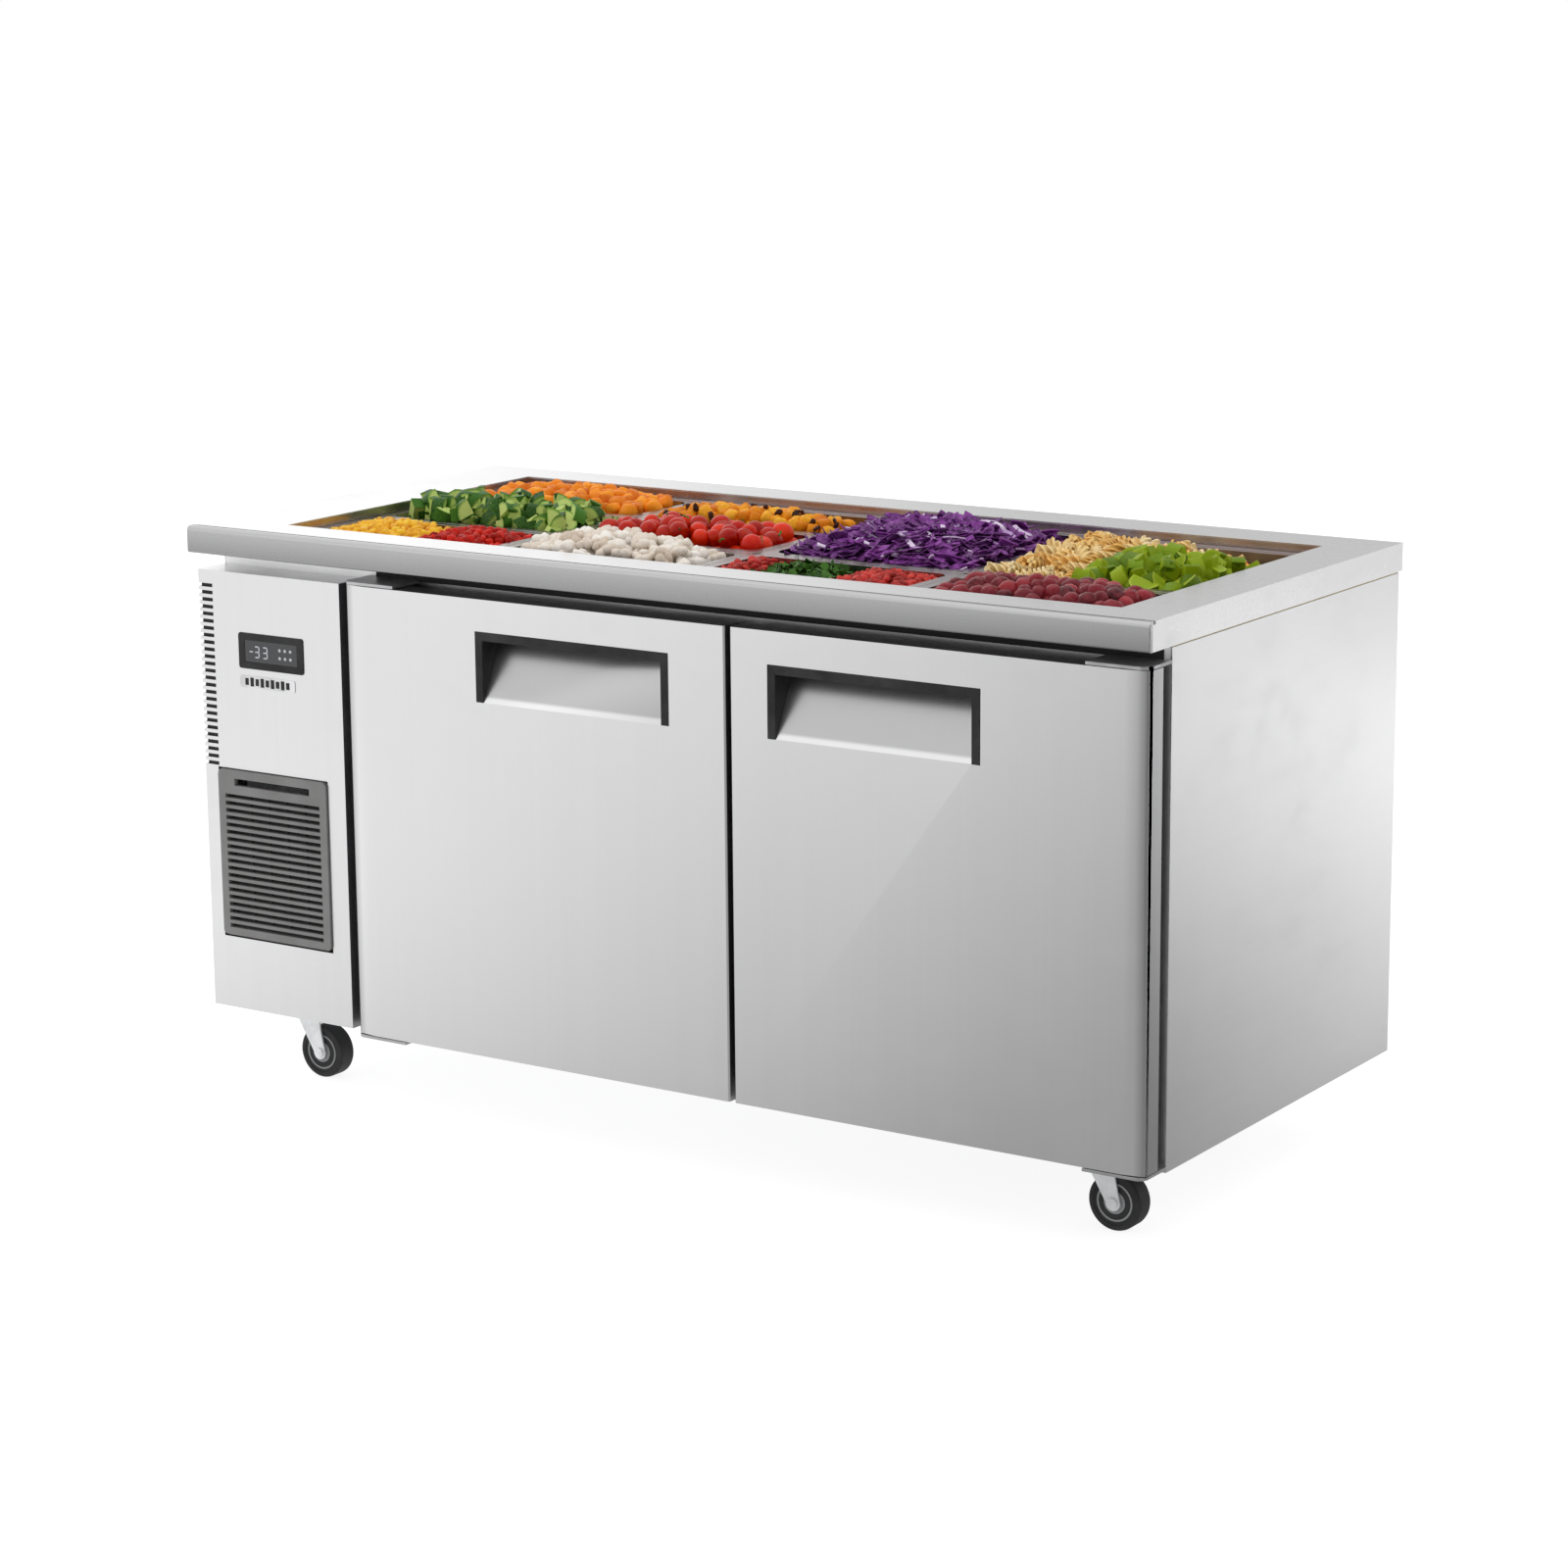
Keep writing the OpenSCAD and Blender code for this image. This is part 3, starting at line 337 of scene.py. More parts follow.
class Nodes:
    """Adds nodes to a tree and joins them by socket name."""

    def __init__(self, tree):
        self.tree = tree

    def add(self, kind, settings=None, **inputs):
        node = self.tree.nodes.new(kind)
        for key, value in (settings or {}).items():
            setattr(node, key, value)
        for key, value in inputs.items():
            self.feed(node.inputs[key.replace("_", " ")], value)
        return node

    def feed(self, socket, value):
        if isinstance(value, bpy.types.NodeSocket):
            self.tree.links.new(value, socket)
        else:
            socket.default_value = value

    def math(self, operation, a, b=0.0, clamp=False):
        node = self.add("ShaderNodeMath", {"operation": operation, "use_clamp": clamp})
        self.feed(node.inputs[0], a)
        self.feed(node.inputs[1], b)
        return node.outputs[0]

    def scaled(self, vector, scale):
        node = self.add("ShaderNodeMapping")
        self.feed(node.inputs["Vector"], vector)
        self.feed(node.inputs["Scale"], scale)
        return node.outputs["Vector"]

    def noise(self, vector, scale, detail=2.0, roughness=0.5, out="Fac"):
        node = self.add("ShaderNodeTexNoise", Scale=scale, Detail=detail, Roughness=roughness)
        self.feed(node.inputs["Vector"], vector)
        return node.outputs[out]

    def ramp(self, value, *stops):
        node = self.add("ShaderNodeValToRGB")
        self.feed(node.inputs["Fac"], value)
        bar = node.color_ramp.elements
        while len(bar) < len(stops):
            bar.new(1.0)
        for mark, (place, shade) in zip(bar, stops):
            mark.position = place
            mark.color = (*shade, 1) if isinstance(shade, tuple) else (shade, shade, shade, 1)
        return node.outputs["Color"]

    def remap(self, value, low, high, to_low, to_high):
        node = self.add("ShaderNodeMapRange")
        for key, number in (("Value", value), ("From Min", low), ("From Max", high),
                            ("To Min", to_low), ("To Max", to_high)):
            self.feed(node.inputs[key], number)
        return node.outputs["Result"]

    def mix(self, factor, a, b, blend="MIX"):
        node = self.add("ShaderNodeMix", {"data_type": "RGBA", "blend_type": blend})
        self.feed(node.inputs["Factor"], factor)
        for socket, value in ((node.inputs[6], a), (node.inputs[7], b)):
            self.feed(socket, (*value, 1) if isinstance(value, (tuple, list, Vector)) and len(value) == 3
                      else value)
        return node.outputs[2]

    def bump(self, height, strength, distance):
        node = self.add("ShaderNodeBump", Strength=strength, Distance=distance)
        self.feed(node.inputs["Height"], height)
        return node.outputs["Normal"]

    def place(self):
        return self.add("ShaderNodeTexCoord").outputs["Object"]

    def split(self, vector=None):
        """The X, Y and Z of a vector, or else of the place."""
        parts = self.add("ShaderNodeSeparateXYZ")
        self.feed(parts.inputs[0], vector or self.place())
        return parts.outputs

    def mark(self, name):
        """A number that the mesh carries on its vertices."""
        return self.add("ShaderNodeAttribute", {"attribute_name": name,
                                                "attribute_type": "GEOMETRY"}).outputs["Fac"]

    def cells(self, scale, feature="F1", **inputs):
        node = self.add("ShaderNodeTexVoronoi", {"feature": feature}, Scale=scale, **inputs)
        self.feed(node.inputs["Vector"], self.place())
        return node.outputs

    def blend(self, factor, first, second):
        """One shader or another, by the factor."""
        node = self.add("ShaderNodeMixShader")
        for socket, value in zip(node.inputs, (factor, first, second)):
            self.feed(socket, value)
        return node.outputs[0]

    def shine(self, strength, kind="Emission", shade=(1, 1, 1, 1)):
        node = self.add("ShaderNode" + kind, Color=shade)
        self.feed(node.inputs["Strength"], strength)
        return node.outputs[0]

    def end(self, shader, kind="Material"):
        self.feed(self.add("ShaderNodeOutput" + kind).inputs["Surface"], shader)


GROUPS = {}


def group(name, inputs, outputs, build):
    """Makes a shader node group once: build gets its nodes and input sockets, and returns its outputs."""
    if name in GROUPS:
        return GROUPS[name]
    tree = bpy.data.node_groups.new(name, "ShaderNodeTree")
    for label, kind, value in inputs:
        socket = tree.interface.new_socket(label, in_out="INPUT", socket_type=kind)
        socket.default_value = value
    for label, kind in outputs:
        tree.interface.new_socket(label, in_out="OUTPUT", socket_type=kind)
    nodes = Nodes(tree)
    given = tree.nodes.new("NodeGroupInput").outputs
    out = tree.nodes.new("NodeGroupOutput").inputs
    for label, value in build(nodes, given).items():
        nodes.feed(out[label], value)
    GROUPS[name] = tree
    return tree


FLOAT, VECTOR, COLOUR = "NodeSocketFloat", "NodeSocketVector", "NodeSocketColor"


def brushed_grain():
    """Fine scratches along one axis, with broader streaks, for brushed sheet."""
    def build(n, given):
        place = n.place()
        fine = n.noise(n.scaled(place, given["Fine Scale"]), 1.0, 2.0, 0.6)
        broad = n.noise(n.scaled(place, given["Broad Scale"]), 1.0, 3.0, 0.55)
        both = n.math("ADD", n.math("MULTIPLY", fine, 0.55), n.math("MULTIPLY", broad, 0.45))
        return {"Height": fine, "Tone": n.remap(both, 0.3, 0.7, 0.0, 1.0),
                "Roughness": n.math("MULTIPLY", n.math("SUBTRACT", both, 0.5), given["Roughness Spread"])}
    return group("Brushed Grain",
                 (("Fine Scale", VECTOR, (3, 3, 1500)), ("Broad Scale", VECTOR, (1.2, 1.2, 90)),
                  ("Roughness Spread", FLOAT, 0.07)),
                 (("Height", FLOAT), ("Tone", FLOAT), ("Roughness", FLOAT)), build)


def handling_marks():
    """Faint smears and wiped patches that dull a polished surface."""
    def build(n, given):
        place = n.place()
        cloud = n.noise(place, given["Scale"], 4.0, 0.6)
        wiped = n.noise(n.scaled(place, (1.0, 1.0, 2.6)), n.math("MULTIPLY", given["Scale"], 2.4), 5.0, 0.65)
        marks = n.math("MULTIPLY", n.remap(cloud, 0.42, 0.72, 0.0, 1.0), n.remap(wiped, 0.4, 0.7, 0.0, 1.0))
        return {"Marks": n.math("MULTIPLY", marks, given["Amount"], clamp=True)}
    return group("Handling Marks", (("Scale", FLOAT, 6.0), ("Amount", FLOAT, 1.0)),
                 (("Marks", FLOAT),), build)


def moulded_skin():
    """Spark-eroded texture of moulded plastic and rubber."""
    def build(n, given):
        pebble = n.cells(given["Scale"], "SMOOTH_F1", Smoothness=0.6)
        haze = n.noise(n.place(), 24.0, 4.0, 0.6)
        return {"Height": pebble["Distance"], "Haze": n.remap(haze, 0.35, 0.7, 0.0, 1.0)}
    return group("Moulded Skin", (("Scale", FLOAT, 1600.0),), (("Height", FLOAT), ("Haze", FLOAT)), build)


def ripeness_and_shade():
    """Colour of one piece of food out of three, with mottling, and painted shade that darkens pieces whose
    tint is below zero.
    """
    def build(n, given):
        tint = n.mark("tint")
        mottle = n.noise(n.place(), given["Mottle Scale"], 3.0, 0.6)
        first = n.mix(n.remap(tint, 0.0, 0.55, 0.0, 1.0), given["Dark"], given["Middle"])
        both = n.mix(n.remap(tint, 0.55, 1.0, 0.0, 1.0), first, given["Light"])
        shade = n.mix(n.math("MULTIPLY", n.remap(mottle, 0.35, 0.68, 0.0, 1.0), given["Mottle"]),
                      both, given["Fleck"])
        # painted shade: a tint below zero, used for the beds between the pieces, darkens the colour to as
        # little as 0.22
        bed_shade = n.remap(tint, -1.0, 0.0, 0.22, 1.0)
        return {"Colour": n.mix(1.0, shade, bed_shade, "MULTIPLY"), "Height": mottle}
    return group("Ripeness and Painted Shade",
                 (("Dark", COLOUR, (0.5, 0.1, 0.1, 1)), ("Middle", COLOUR, (0.6, 0.2, 0.1, 1)),
                  ("Light", COLOUR, (0.7, 0.3, 0.2, 1)), ("Fleck", COLOUR, (0.9, 0.8, 0.7, 1)),
                  ("Mottle", FLOAT, 0.3), ("Mottle Scale", FLOAT, 160.0)),
                 (("Colour", COLOUR), ("Height", FLOAT)), build)


# ---- materials ----

MADE = {}


def material(name, build, **plain):
    """Makes a material once: build wires what varies, and plain numbers go on the shader's own sockets."""
    if name in MADE:
        return MADE[name]
    made = bpy.data.materials.new(name)
    made.use_nodes = True
    nodes = Nodes(made.node_tree)
    shader = made.node_tree.nodes["Principled BSDF"]
    for key, value in plain.items():
        shader.inputs[key.replace("_", " ")].default_value = value
    for key, value in build(nodes).items():
        nodes.feed(shader.inputs[key.replace("_", " ")], value)
    MADE[name] = made
    return made


def use(n, tree, **inputs):
    node = n.add("ShaderNodeGroup", {"node_tree": tree})
    for key, value in inputs.items():
        n.feed(node.inputs[key.replace("_", " ")], value)
    return node.outputs


def lines(axis, fine=1500.0, along=3.0):
    """Scales that stretch a pattern along one axis."""
    scale = [fine, fine, fine]
    scale["xyz".index(axis)] = along
    return tuple(scale)


def chosen():
    """The finishes set in the sidebar."""
    return bpy.context.scene.prep_table_finish


def brushed(name, axis="z", tone=None, roughness=None, spread=0.02, marks=1.0, grain=0.06, metal=1.0,
            shading=None):
    """Brushed sheet with faint smears; shading may change its colour from place to place."""
    base = tuple(tone or chosen().steel)
    rough = roughness or chosen().steel_roughness

    def build(n):
        scratches = use(n, brushed_grain(), Fine_Scale=lines(axis), Broad_Scale=lines(axis, 70.0, 1.0))
        smears = n.math("MULTIPLY", use(n, handling_marks(), Amount=marks)["Marks"], 0.10)

        def smeared(shade, dulling=0.82):
            return n.mix(smears, shade, tuple(c * dulling for c in base))

        sheet = n.mix(scratches["Tone"], tuple(c * (1 - spread) for c in base),
                      tuple(min(1, c * (1 + spread)) for c in base))
        return {"Base_Color": shading(n, sheet, smeared) if shading else smeared(sheet),
                "Roughness": n.math("ADD", n.math("ADD", scratches["Roughness"], rough), smears, clamp=True),
                "Normal": n.bump(scratches["Height"], grain, 0.00005)}
    return material(name, build, Metallic=metal)


def steel(axis="z"):
    return brushed("Satin steel along " + axis, axis)


def door_steel(front):
    """Satin sheet with painted shade: darker where it is drawn back behind the door's face."""
    def shading(n, sheet, smeared):
        # painted shade: every surface more than 4.5 mm behind the door's face, its edges and returns, is
        # darkened to 0.62
        recess_shade = n.remap(n.split()["Y"], front + 0.0025, front + 0.0045, 1.0, 0.62)
        return n.mix(1.0, sheet, recess_shade, "MULTIPLY")
    return brushed("Door steel", roughness=0.30, spread=0.015, shading=shading)


def worktop_steel():
    """The worktop's sheet: brushed along its length, with painted shade that darkens its nosing towards the
    bottom and a painted shadow line along its folded groove.
    """
    front = CAD_BOX[0][1]

    def shading(n, sheet, smeared):
        spot = n.split()
        y, z = spot["Y"], spot["Z"]
        # painted shade: the nosing's front face is darkened from 0.62 near the top to 0.42 at the bottom
        nosing_shade = n.remap(z, WORKTOP_TOP - 0.036, WORKTOP_TOP - 0.004, 0.42, 0.62)
        nosing = n.mix(1.0, sheet, nosing_shade, "MULTIPLY")
        shaded_front = n.mix(n.remap(y, front + 0.0060, front + 0.0082, 1.0, 0.0), sheet, nosing)
        # painted shadow: a near-black line along the folded groove on the top, just behind the nosing
        groove_shadow = n.math("MULTIPLY", n.remap(y, front + 0.0080, front + 0.0086, 0.0, 1.0),
                           n.remap(y, front + 0.0140, front + 0.0148, 1.0, 0.0))
        on_top = n.remap(z, WORKTOP_TOP - 0.0045, WORKTOP_TOP - 0.0040, 0.0, 0.82)
        return n.mix(n.math("MULTIPLY", groove_shadow, on_top), smeared(shaded_front, 0.8), (0.03, 0.03, 0.03))
    return brushed("Worktop steel", "x", roughness=0.27, spread=0.015, grain=0.05, shading=shading)


def shaded_pan_steel():
    # painted shade and painted reflection: the pans' steel is darkened to about 0.3 and warmed by the food it
    # reflects
    return brushed("Drawn pan steel with painted shade", "z", (0.32, 0.285, 0.28), 0.24, 0.06, 1.4, 0.06)


def galvanised():
    def build(n):
        spangle = n.cells(210.0)
        flake = n.add("ShaderNodeSeparateColor")
        n.feed(flake.inputs["Color"], spangle["Color"])
        cloud = n.noise(n.place(), 9.0, 4.0)
        return {"Base_Color": n.mix(flake.outputs[0], (0.50, 0.51, 0.52), (0.60, 0.61, 0.62)),
                "Roughness": n.remap(n.math("ADD", flake.outputs[1], cloud), 0.3, 1.5, 0.40, 0.54),
                "Normal": n.bump(spangle["Distance"], 0.08, 0.0004)}
    return material("Galvanised sheet", build, Metallic=1.0)


def liner_steel():
    return brushed("Inner liner sheet", "y", (0.72, 0.73, 0.74), 0.36, 0.04, 0.8, 0.08, 0.35)


def plated(name="Bright zinc plate", tone=(0.74, 0.75, 0.77), roughness=0.24, metal=0.6):
    def build(n):
        place = n.place()
        cast = n.noise(place, 260.0, 4.0, 0.6)
        stain = n.noise(place, 34.0, 5.0, 0.6)
        return {"Base_Color": n.mix(n.remap(stain, 0.35, 0.7, 0.0, 1.0), tone, tuple(c * 0.78 for c in tone)),
                "Roughness": n.remap(n.math("ADD", cast, stain), 0.6, 1.4, roughness, roughness + 0.2),
                "Normal": n.bump(cast, 0.12, 0.0003)}
    return material(name, build, Metallic=metal)


def moulded(name, tone, roughness=0.42, scale=1600.0, haze=0.10, depth=0.12, shine=0.5):
    def build(n):
        skin = use(n, moulded_skin(), Scale=scale)
        paler = tuple(c + (0.5 - c) * haze for c in tone)
        return {"Base_Color": n.mix(skin["Haze"], tuple(tone), paler),
                "Roughness": n.remap(skin["Haze"], 0.0, 1.0, roughness, roughness + 0.14),
                "Normal": n.bump(skin["Height"], depth, 0.0002)}
    return material(name, build, Specular_IOR_Level=shine)


def black_plastic():
    return moulded("Black moulded plastic", chosen().plastic, 0.4, 1600.0, 0.04, shine=0.22)


def grille_plastic():
    return moulded("Grey grille plastic", chosen().grille, 0.46, 1300.0, 0.12)


def rubber():
    return moulded("Black rubber", chosen().rubber, 0.55, 900.0, 0.04, 0.2, 0.25)


def white_plastic():
    return moulded("White plastic", (0.72, 0.72, 0.70), 0.40, 1200.0, 0.05)


def lens_plastic():
    def build(n):
        dust = n.noise(n.place(), 420.0, 4.0, 0.7)
        smear = n.noise(n.place(), 40.0, 3.0)
        return {"Base_Color": n.mix(n.remap(dust, 0.55, 0.8, 0.0, 0.5), (0.012, 0.013, 0.016),
                                    (0.06, 0.062, 0.07)),
                "Roughness": n.remap(smear, 0.3, 0.7, 0.07, 0.2)}
    return material("Smoked display lens", build, Coat_Weight=0.6, Coat_Roughness=0.04)


def readout():
    def build(n):
        glow = n.noise(n.place(), 700.0, 2.0)
        return {"Base_Color": n.mix(glow, (0.30, 0.31, 0.33), (0.42, 0.43, 0.45)),
                "Emission_Color": n.mix(glow, (0.62, 0.66, 0.70), (0.80, 0.84, 0.88))}
    return material("Display segments", build, Roughness=0.5, Emission_Strength=0.16)


def coated_wire():
    return moulded("Epoxy coated wire", (0.62, 0.63, 0.63), 0.30, 500.0, 0.05, 0.3)


def weathered(name, clean, soiled, cloud, soiling, rough, peel=0.0, **plain):
    """Metal or paint under cloudy dirt.

    cloud is the pattern's scale and roughness, soiling where the dirt starts, where it is full and how
    strong it gets, and peel the depth of the ripples in a paint.
    """
    def build(n):
        dirt = n.noise(n.place(), cloud[0], 5.0, cloud[1])
        start, full, strength = soiling
        wired = {"Base_Color": n.mix(n.remap(dirt, start, full, 0.0, strength), clean, soiled),
                 "Roughness": n.remap(dirt, 0.3, 0.7, *rough)}
        if peel:
            wired["Normal"] = n.bump(n.noise(n.place(), 320.0, 3.0, 0.5), peel, 0.0006)
        return wired
    return material(name, build, **plain)


def fin_metal():
    return weathered("Aluminium fins", (0.62, 0.62, 0.63), (0.33, 0.31, 0.29), (60.0, 0.6),
                     (0.45, 0.75, 0.7), (0.3, 0.6), Metallic=1.0)


def black_paint():
    return weathered("Black stove paint", (0.014, 0.014, 0.015), (0.10, 0.095, 0.09), (22.0, 0.65),
                     (0.5, 0.8, 0.4), (0.28, 0.5), 0.15)


def copper():
    return weathered("Drawn copper", (0.78, 0.40, 0.25), (0.36, 0.17, 0.11), (55.0, 0.6),
                     (0.42, 0.7, 1.0), (0.2, 0.5), Metallic=1.0)


def filter_mesh():
    def build(n):
        weave = n.add("ShaderNodeTexWave", {"wave_type": "BANDS", "bands_direction": "DIAGONAL"}, Scale=160.0)
        n.feed(weave.inputs["Vector"], n.place())
        return {"Base_Color": n.mix(weave.outputs["Fac"], (0.016, 0.016, 0.017), (0.05, 0.05, 0.052)),
                "Normal": n.bump(weave.outputs["Fac"], 0.3, 0.0005)}
    return material("Filter mesh", build, Roughness=0.7)


def foam():
    def build(n):
        cells = n.cells(420.0)
        age = n.noise(n.place(), 12.0, 4.0)
        return {"Base_Color": n.mix(age, (0.80, 0.68, 0.40), (0.68, 0.52, 0.26)),
                "Normal": n.bump(cells["Distance"], 0.5, 0.0008)}
    return material("Insulating foam", build, Roughness=0.85)


# ---- shapes shared by several pieces ----

def turned(name, radius, width, steps, sides=40, shoulder=0.0):
    """A disc about Y: each step insets both faces by its first number and sinks them by its second."""
    deselect()
    bpy.ops.mesh.primitive_cylinder_add(vertices=sides, radius=radius, depth=width,
                                        rotation=(math.pi / 2, 0, 0))
    piece = bpy.context.object
    piece.name = name
    settle(piece)
    if shoulder:
        pick(piece, lambda f: abs(f.normal.y) > 0.9)
        bpy.ops.mesh.bevel(offset=shoulder, segments=4, affect="EDGES")
        done()
    for inset, sink in steps:
        for side in (-1, 1):
            reach = max(f.center.y * side for f in piece.data.polygons
                        if f.normal.y * side > 0.9 and math.hypot(f.center.x, f.center.z) < 1e-4)
            pick(piece, lambda f: f.normal.y * side > 0.9 and abs(f.center.y * side - reach) < 1e-5
                 and math.hypot(f.center.x, f.center.z) < 1e-4)
            bpy.ops.mesh.inset(thickness=inset)
            if sink:
                bpy.ops.mesh.extrude_region_move(TRANSFORM_OT_translate={"value": (0, -side * sink, 0)})
            done()
    outward(piece)
    return piece


def screw_head():
    """A pan-head screw with a cross recess, pointing along +Z from the origin."""
    head = rod("screw_head", (0, 0, -0.0005), (0, 0, 0.0022), 0.0042, 16)
    pick(head, lambda f: f.normal.z > 0.9)
    bpy.ops.mesh.bevel(offset=0.0012, segments=2, affect="EDGES")
    done()
    pick(head, lambda f: f.normal.z > 0.9)
    bpy.ops.mesh.inset(thickness=0.0012)
    bpy.ops.mesh.extrude_region_move(TRANSFORM_OT_translate={"value": (0, 0, -0.001)})
    done()
    smooth(head)
    return head


def screws(name, body, metal, places):
    """One piece with a screw at each place, given as a point and the way its head faces."""
    head = screw_head()
    paint(head, metal)
    parts = []
    for point, way in places:
        turn = Vector(way).to_track_quat("Z", "Y").to_matrix().to_4x4()
        parts.append(copy_of(head, Matrix.Translation(Vector(point)) @ turn))
    discard(head)
    return keep(join(name, parts), body)


# ---- pieces ----

class PREPTABLE_OT_sheet_metal(bpy.types.Operator):
    """Finishes the worktop, outer panels, frame and inside walls"""
    bl_idname = "preptable.sheet_metal"
    bl_label = "Sheet metal"

    def execute(self, context):
        edge = context.scene.prep_table_finish.edge
        refined("worktop", worktop_steel(), edge)
        refined("side_panel_left", steel("y"), edge)
        refined("side_panel_right", steel("y"), edge)
        refined("back_panel", galvanised())
        refined("base_panel", galvanised(), edge)
        refined("front_frame", steel("x"), edge)
        refined("inner_liner", liner_steel(), edge)
        dress("insulation", foam())
        refined("caster_plates", plated(), 0.0008)
        refined("cable_gland", black_plastic(), 0.0005)
        self.gap_shadow_strip()
        self.partition()
        low, high = corners("back_panel")
        inset, rows = 0.012, 5
        places = []
        for row in range(rows):
            height = low.z + inset + (high.z - low.z - 2 * inset) * row / (rows - 1)
            places += [((x, high.y, height), Y) for x in (low.x + inset, high.x - inset)]
        for column in range(1, 6):
            across = low.x + (high.x - low.x) * column / 6
            places += [((across, high.y, z), Y) for z in (low.z + inset, high.z - inset)]
        screws("back_panel_screws", "cabinet", plated(), places)
        bolt_x, bolt_y, plate_thick = 0.038, 0.028, 0.004
        under = corners("caster_plates")[1].z - plate_thick
        bolts = []
        swivels = [row for row in frame["record"]["behaviour"]["joints"] if "swivel" in row["name"]]
        for swivel in swivels:
            x, y = swivel["pos_m"][:2]
            bolts += [((x + i * bolt_x, y + j * bolt_y, under), -Z) for i in (-1, 1) for j in (-1, 1)]
        screws("caster_plate_bolts", "cabinet", plated(), bolts)
        return {"FINISHED"}

    def partition(self):
        """Sheets that cover the foam on the machine side: the upright wall and the ceiling."""
        low, high = corners("insulation")
        faces = frame["nodes"]["insulation"].data.polygons
        wall = min(f.center.x for f in faces if f.normal.x < -0.9 and f.center.x > low.x + 0.1)
        ceiling = min(f.center.z for f in faces if f.normal.z < -0.9 and f.center.x < wall)
        upright = box_piece("partition_sheet", (wall - 0.0009, low.y + 0.002, low.z + 0.001),
                            (wall - 0.0001, high.y - 0.002, ceiling - 0.001))
        over = box_piece("ceiling_sheet", (low.x + 0.002, low.y + 0.002, ceiling - 0.0009),
                         (wall - 0.001, high.y - 0.002, ceiling - 0.0001))
        piece = join("partition_sheet", [upright, over])
        paint(piece, galvanised())
        keep(piece, "cabinet")

    def gap_shadow_strip(self):
        """A black folded strip over the doors, under the worktop's nosing: painted shadow that stands in the
        dark gap there.
        """
        frame_low = Vector(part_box("front_frame")[0])
        left, right = Vector(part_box("door_left_skin")[0]), Vector(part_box("door_right_skin")[1])
        # painted shadow: a black strip in front of the steel header, where there is only shade
        piece = box_piece("gap_shadow_strip", (left.x + 0.012, frame_low.y - 0.0016, right.z + 0.003),
                          (right.x - 0.012, frame_low.y - 0.0003, WORKTOP_TOP - 0.0385))
        soften(piece, 0.0003, 1)
        paint(piece, black_plastic())
        keep(piece, "cabinet")


class PREPTABLE_OT_pan_well(bpy.types.Operator):
    """Finishes the well, its bars and the ten pans"""
    bl_idname = "preptable.pan_well"
    bl_label = "Pan well"

    def execute(self, context):
        # painted shade and painted reflection: the well's steel is darkened and warmed like the pans'
        refined("well_frame", brushed("Well steel with painted shade", "x", (0.44, 0.385, 0.38), 0.26, 0.06, 1.4, 0.06), 0.0005)
        refined("pan_bars", shaded_pan_steel(), 0.0008)
        for node in sorted(n for n in frame["nodes"] if n.startswith("pan_") and n != "pan_bars"):
            refined(node, shaded_pan_steel(), 0.0007, 2, 40)
        return {"FINISHED"}


class PREPTABLE_OT_doors(bpy.types.Operator):
    """Finishes both doors, with bellows seals, and their hinge brackets"""
    bl_idname = "preptable.doors"
    bl_label = "Doors"

    def execute(self, context):
        edge = context.scene.prep_table_finish.edge
        for side in ("left", "right"):
            door = "door_" + side
            refined(door + "_skin", door_steel(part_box(door + "_skin")[0][1]), edge)
            refined(door + "_liner", white_plastic(), 0.0015, 3)
            refined(door + "_handle", black_plastic(), 0.0007)
            self.seal(door)
        for place in ("upper", "lower"):
            node = place + "_hinge_brackets"
            refined(node, plated("Hinge plate", (0.50, 0.50, 0.51), 0.3, 0.9), 0.0006)
        return {"FINISHED"}

    def seal(self, door):
        """A magnetic seal whose sides fold in three pleats."""
        node = door + "_gasket"
        low, high = corners(node)
        width, pleat, folds = 0.016, 0.0024, 3
        piece = box_piece(node + "_bellows", low, high)
        pick(piece, lambda f: abs(f.normal.y) > 0.9)
        bpy.ops.mesh.delete(type="FACE")
        done()
        depth = high.y - low.y
        cut_across(piece, Y, low.y, depth, 2 * folds)
        inner = copy_of(piece, Matrix.Identity(4))
        middle = (low + high) / 2
        span = high - low
        only(inner)
        inner.scale = ((span.x - 2 * width) / span.x, 1, (span.z - 2 * width) / span.z)
        inner.location = (middle.x * (1 - inner.scale.x), 0, middle.z * (1 - inner.scale.z))
        settle(inner)
        for wall, way in ((piece, 1), (inner, -1)):
            corner_low = [min(v.co[i] for v in wall.data.vertices) for i in range(3)]
            corner_high = [max(v.co[i] for v in wall.data.vertices) for i in range(3)]
            for axis, step in ((0, X), (2, Z)):
                for edge_at, sign in ((corner_low[axis], 1), (corner_high[axis], -1)):
                    pick(wall, lambda v: abs(v.co[axis] - edge_at) < 1e-5
                         and self.folded(v.co.y, low.y, depth, folds), "VERT")
                    bpy.ops.transform.translate(value=step * (sign * way * pleat))
                    done()
        piece = join(node + "_bellows", [piece, inner])
        for face_at in (low.y, high.y):
            pick(piece, lambda v: abs(v.co.y - face_at) < 1e-5, "VERT")
            bpy.ops.mesh.select_mode(type="EDGE")
            bpy.ops.mesh.bridge_edge_loops()
            done()
        outward(piece)
        soften(piece, 0.0006, 2, 20)
        paint(piece, rubber())
        keep(piece, door, (node,))

    def folded(self, y, start, depth, folds):
        """Whether a ring of points is one that a pleat pulls in."""
        step = depth / (2 * folds)
        return round((y - start) / step) % 2 == 1


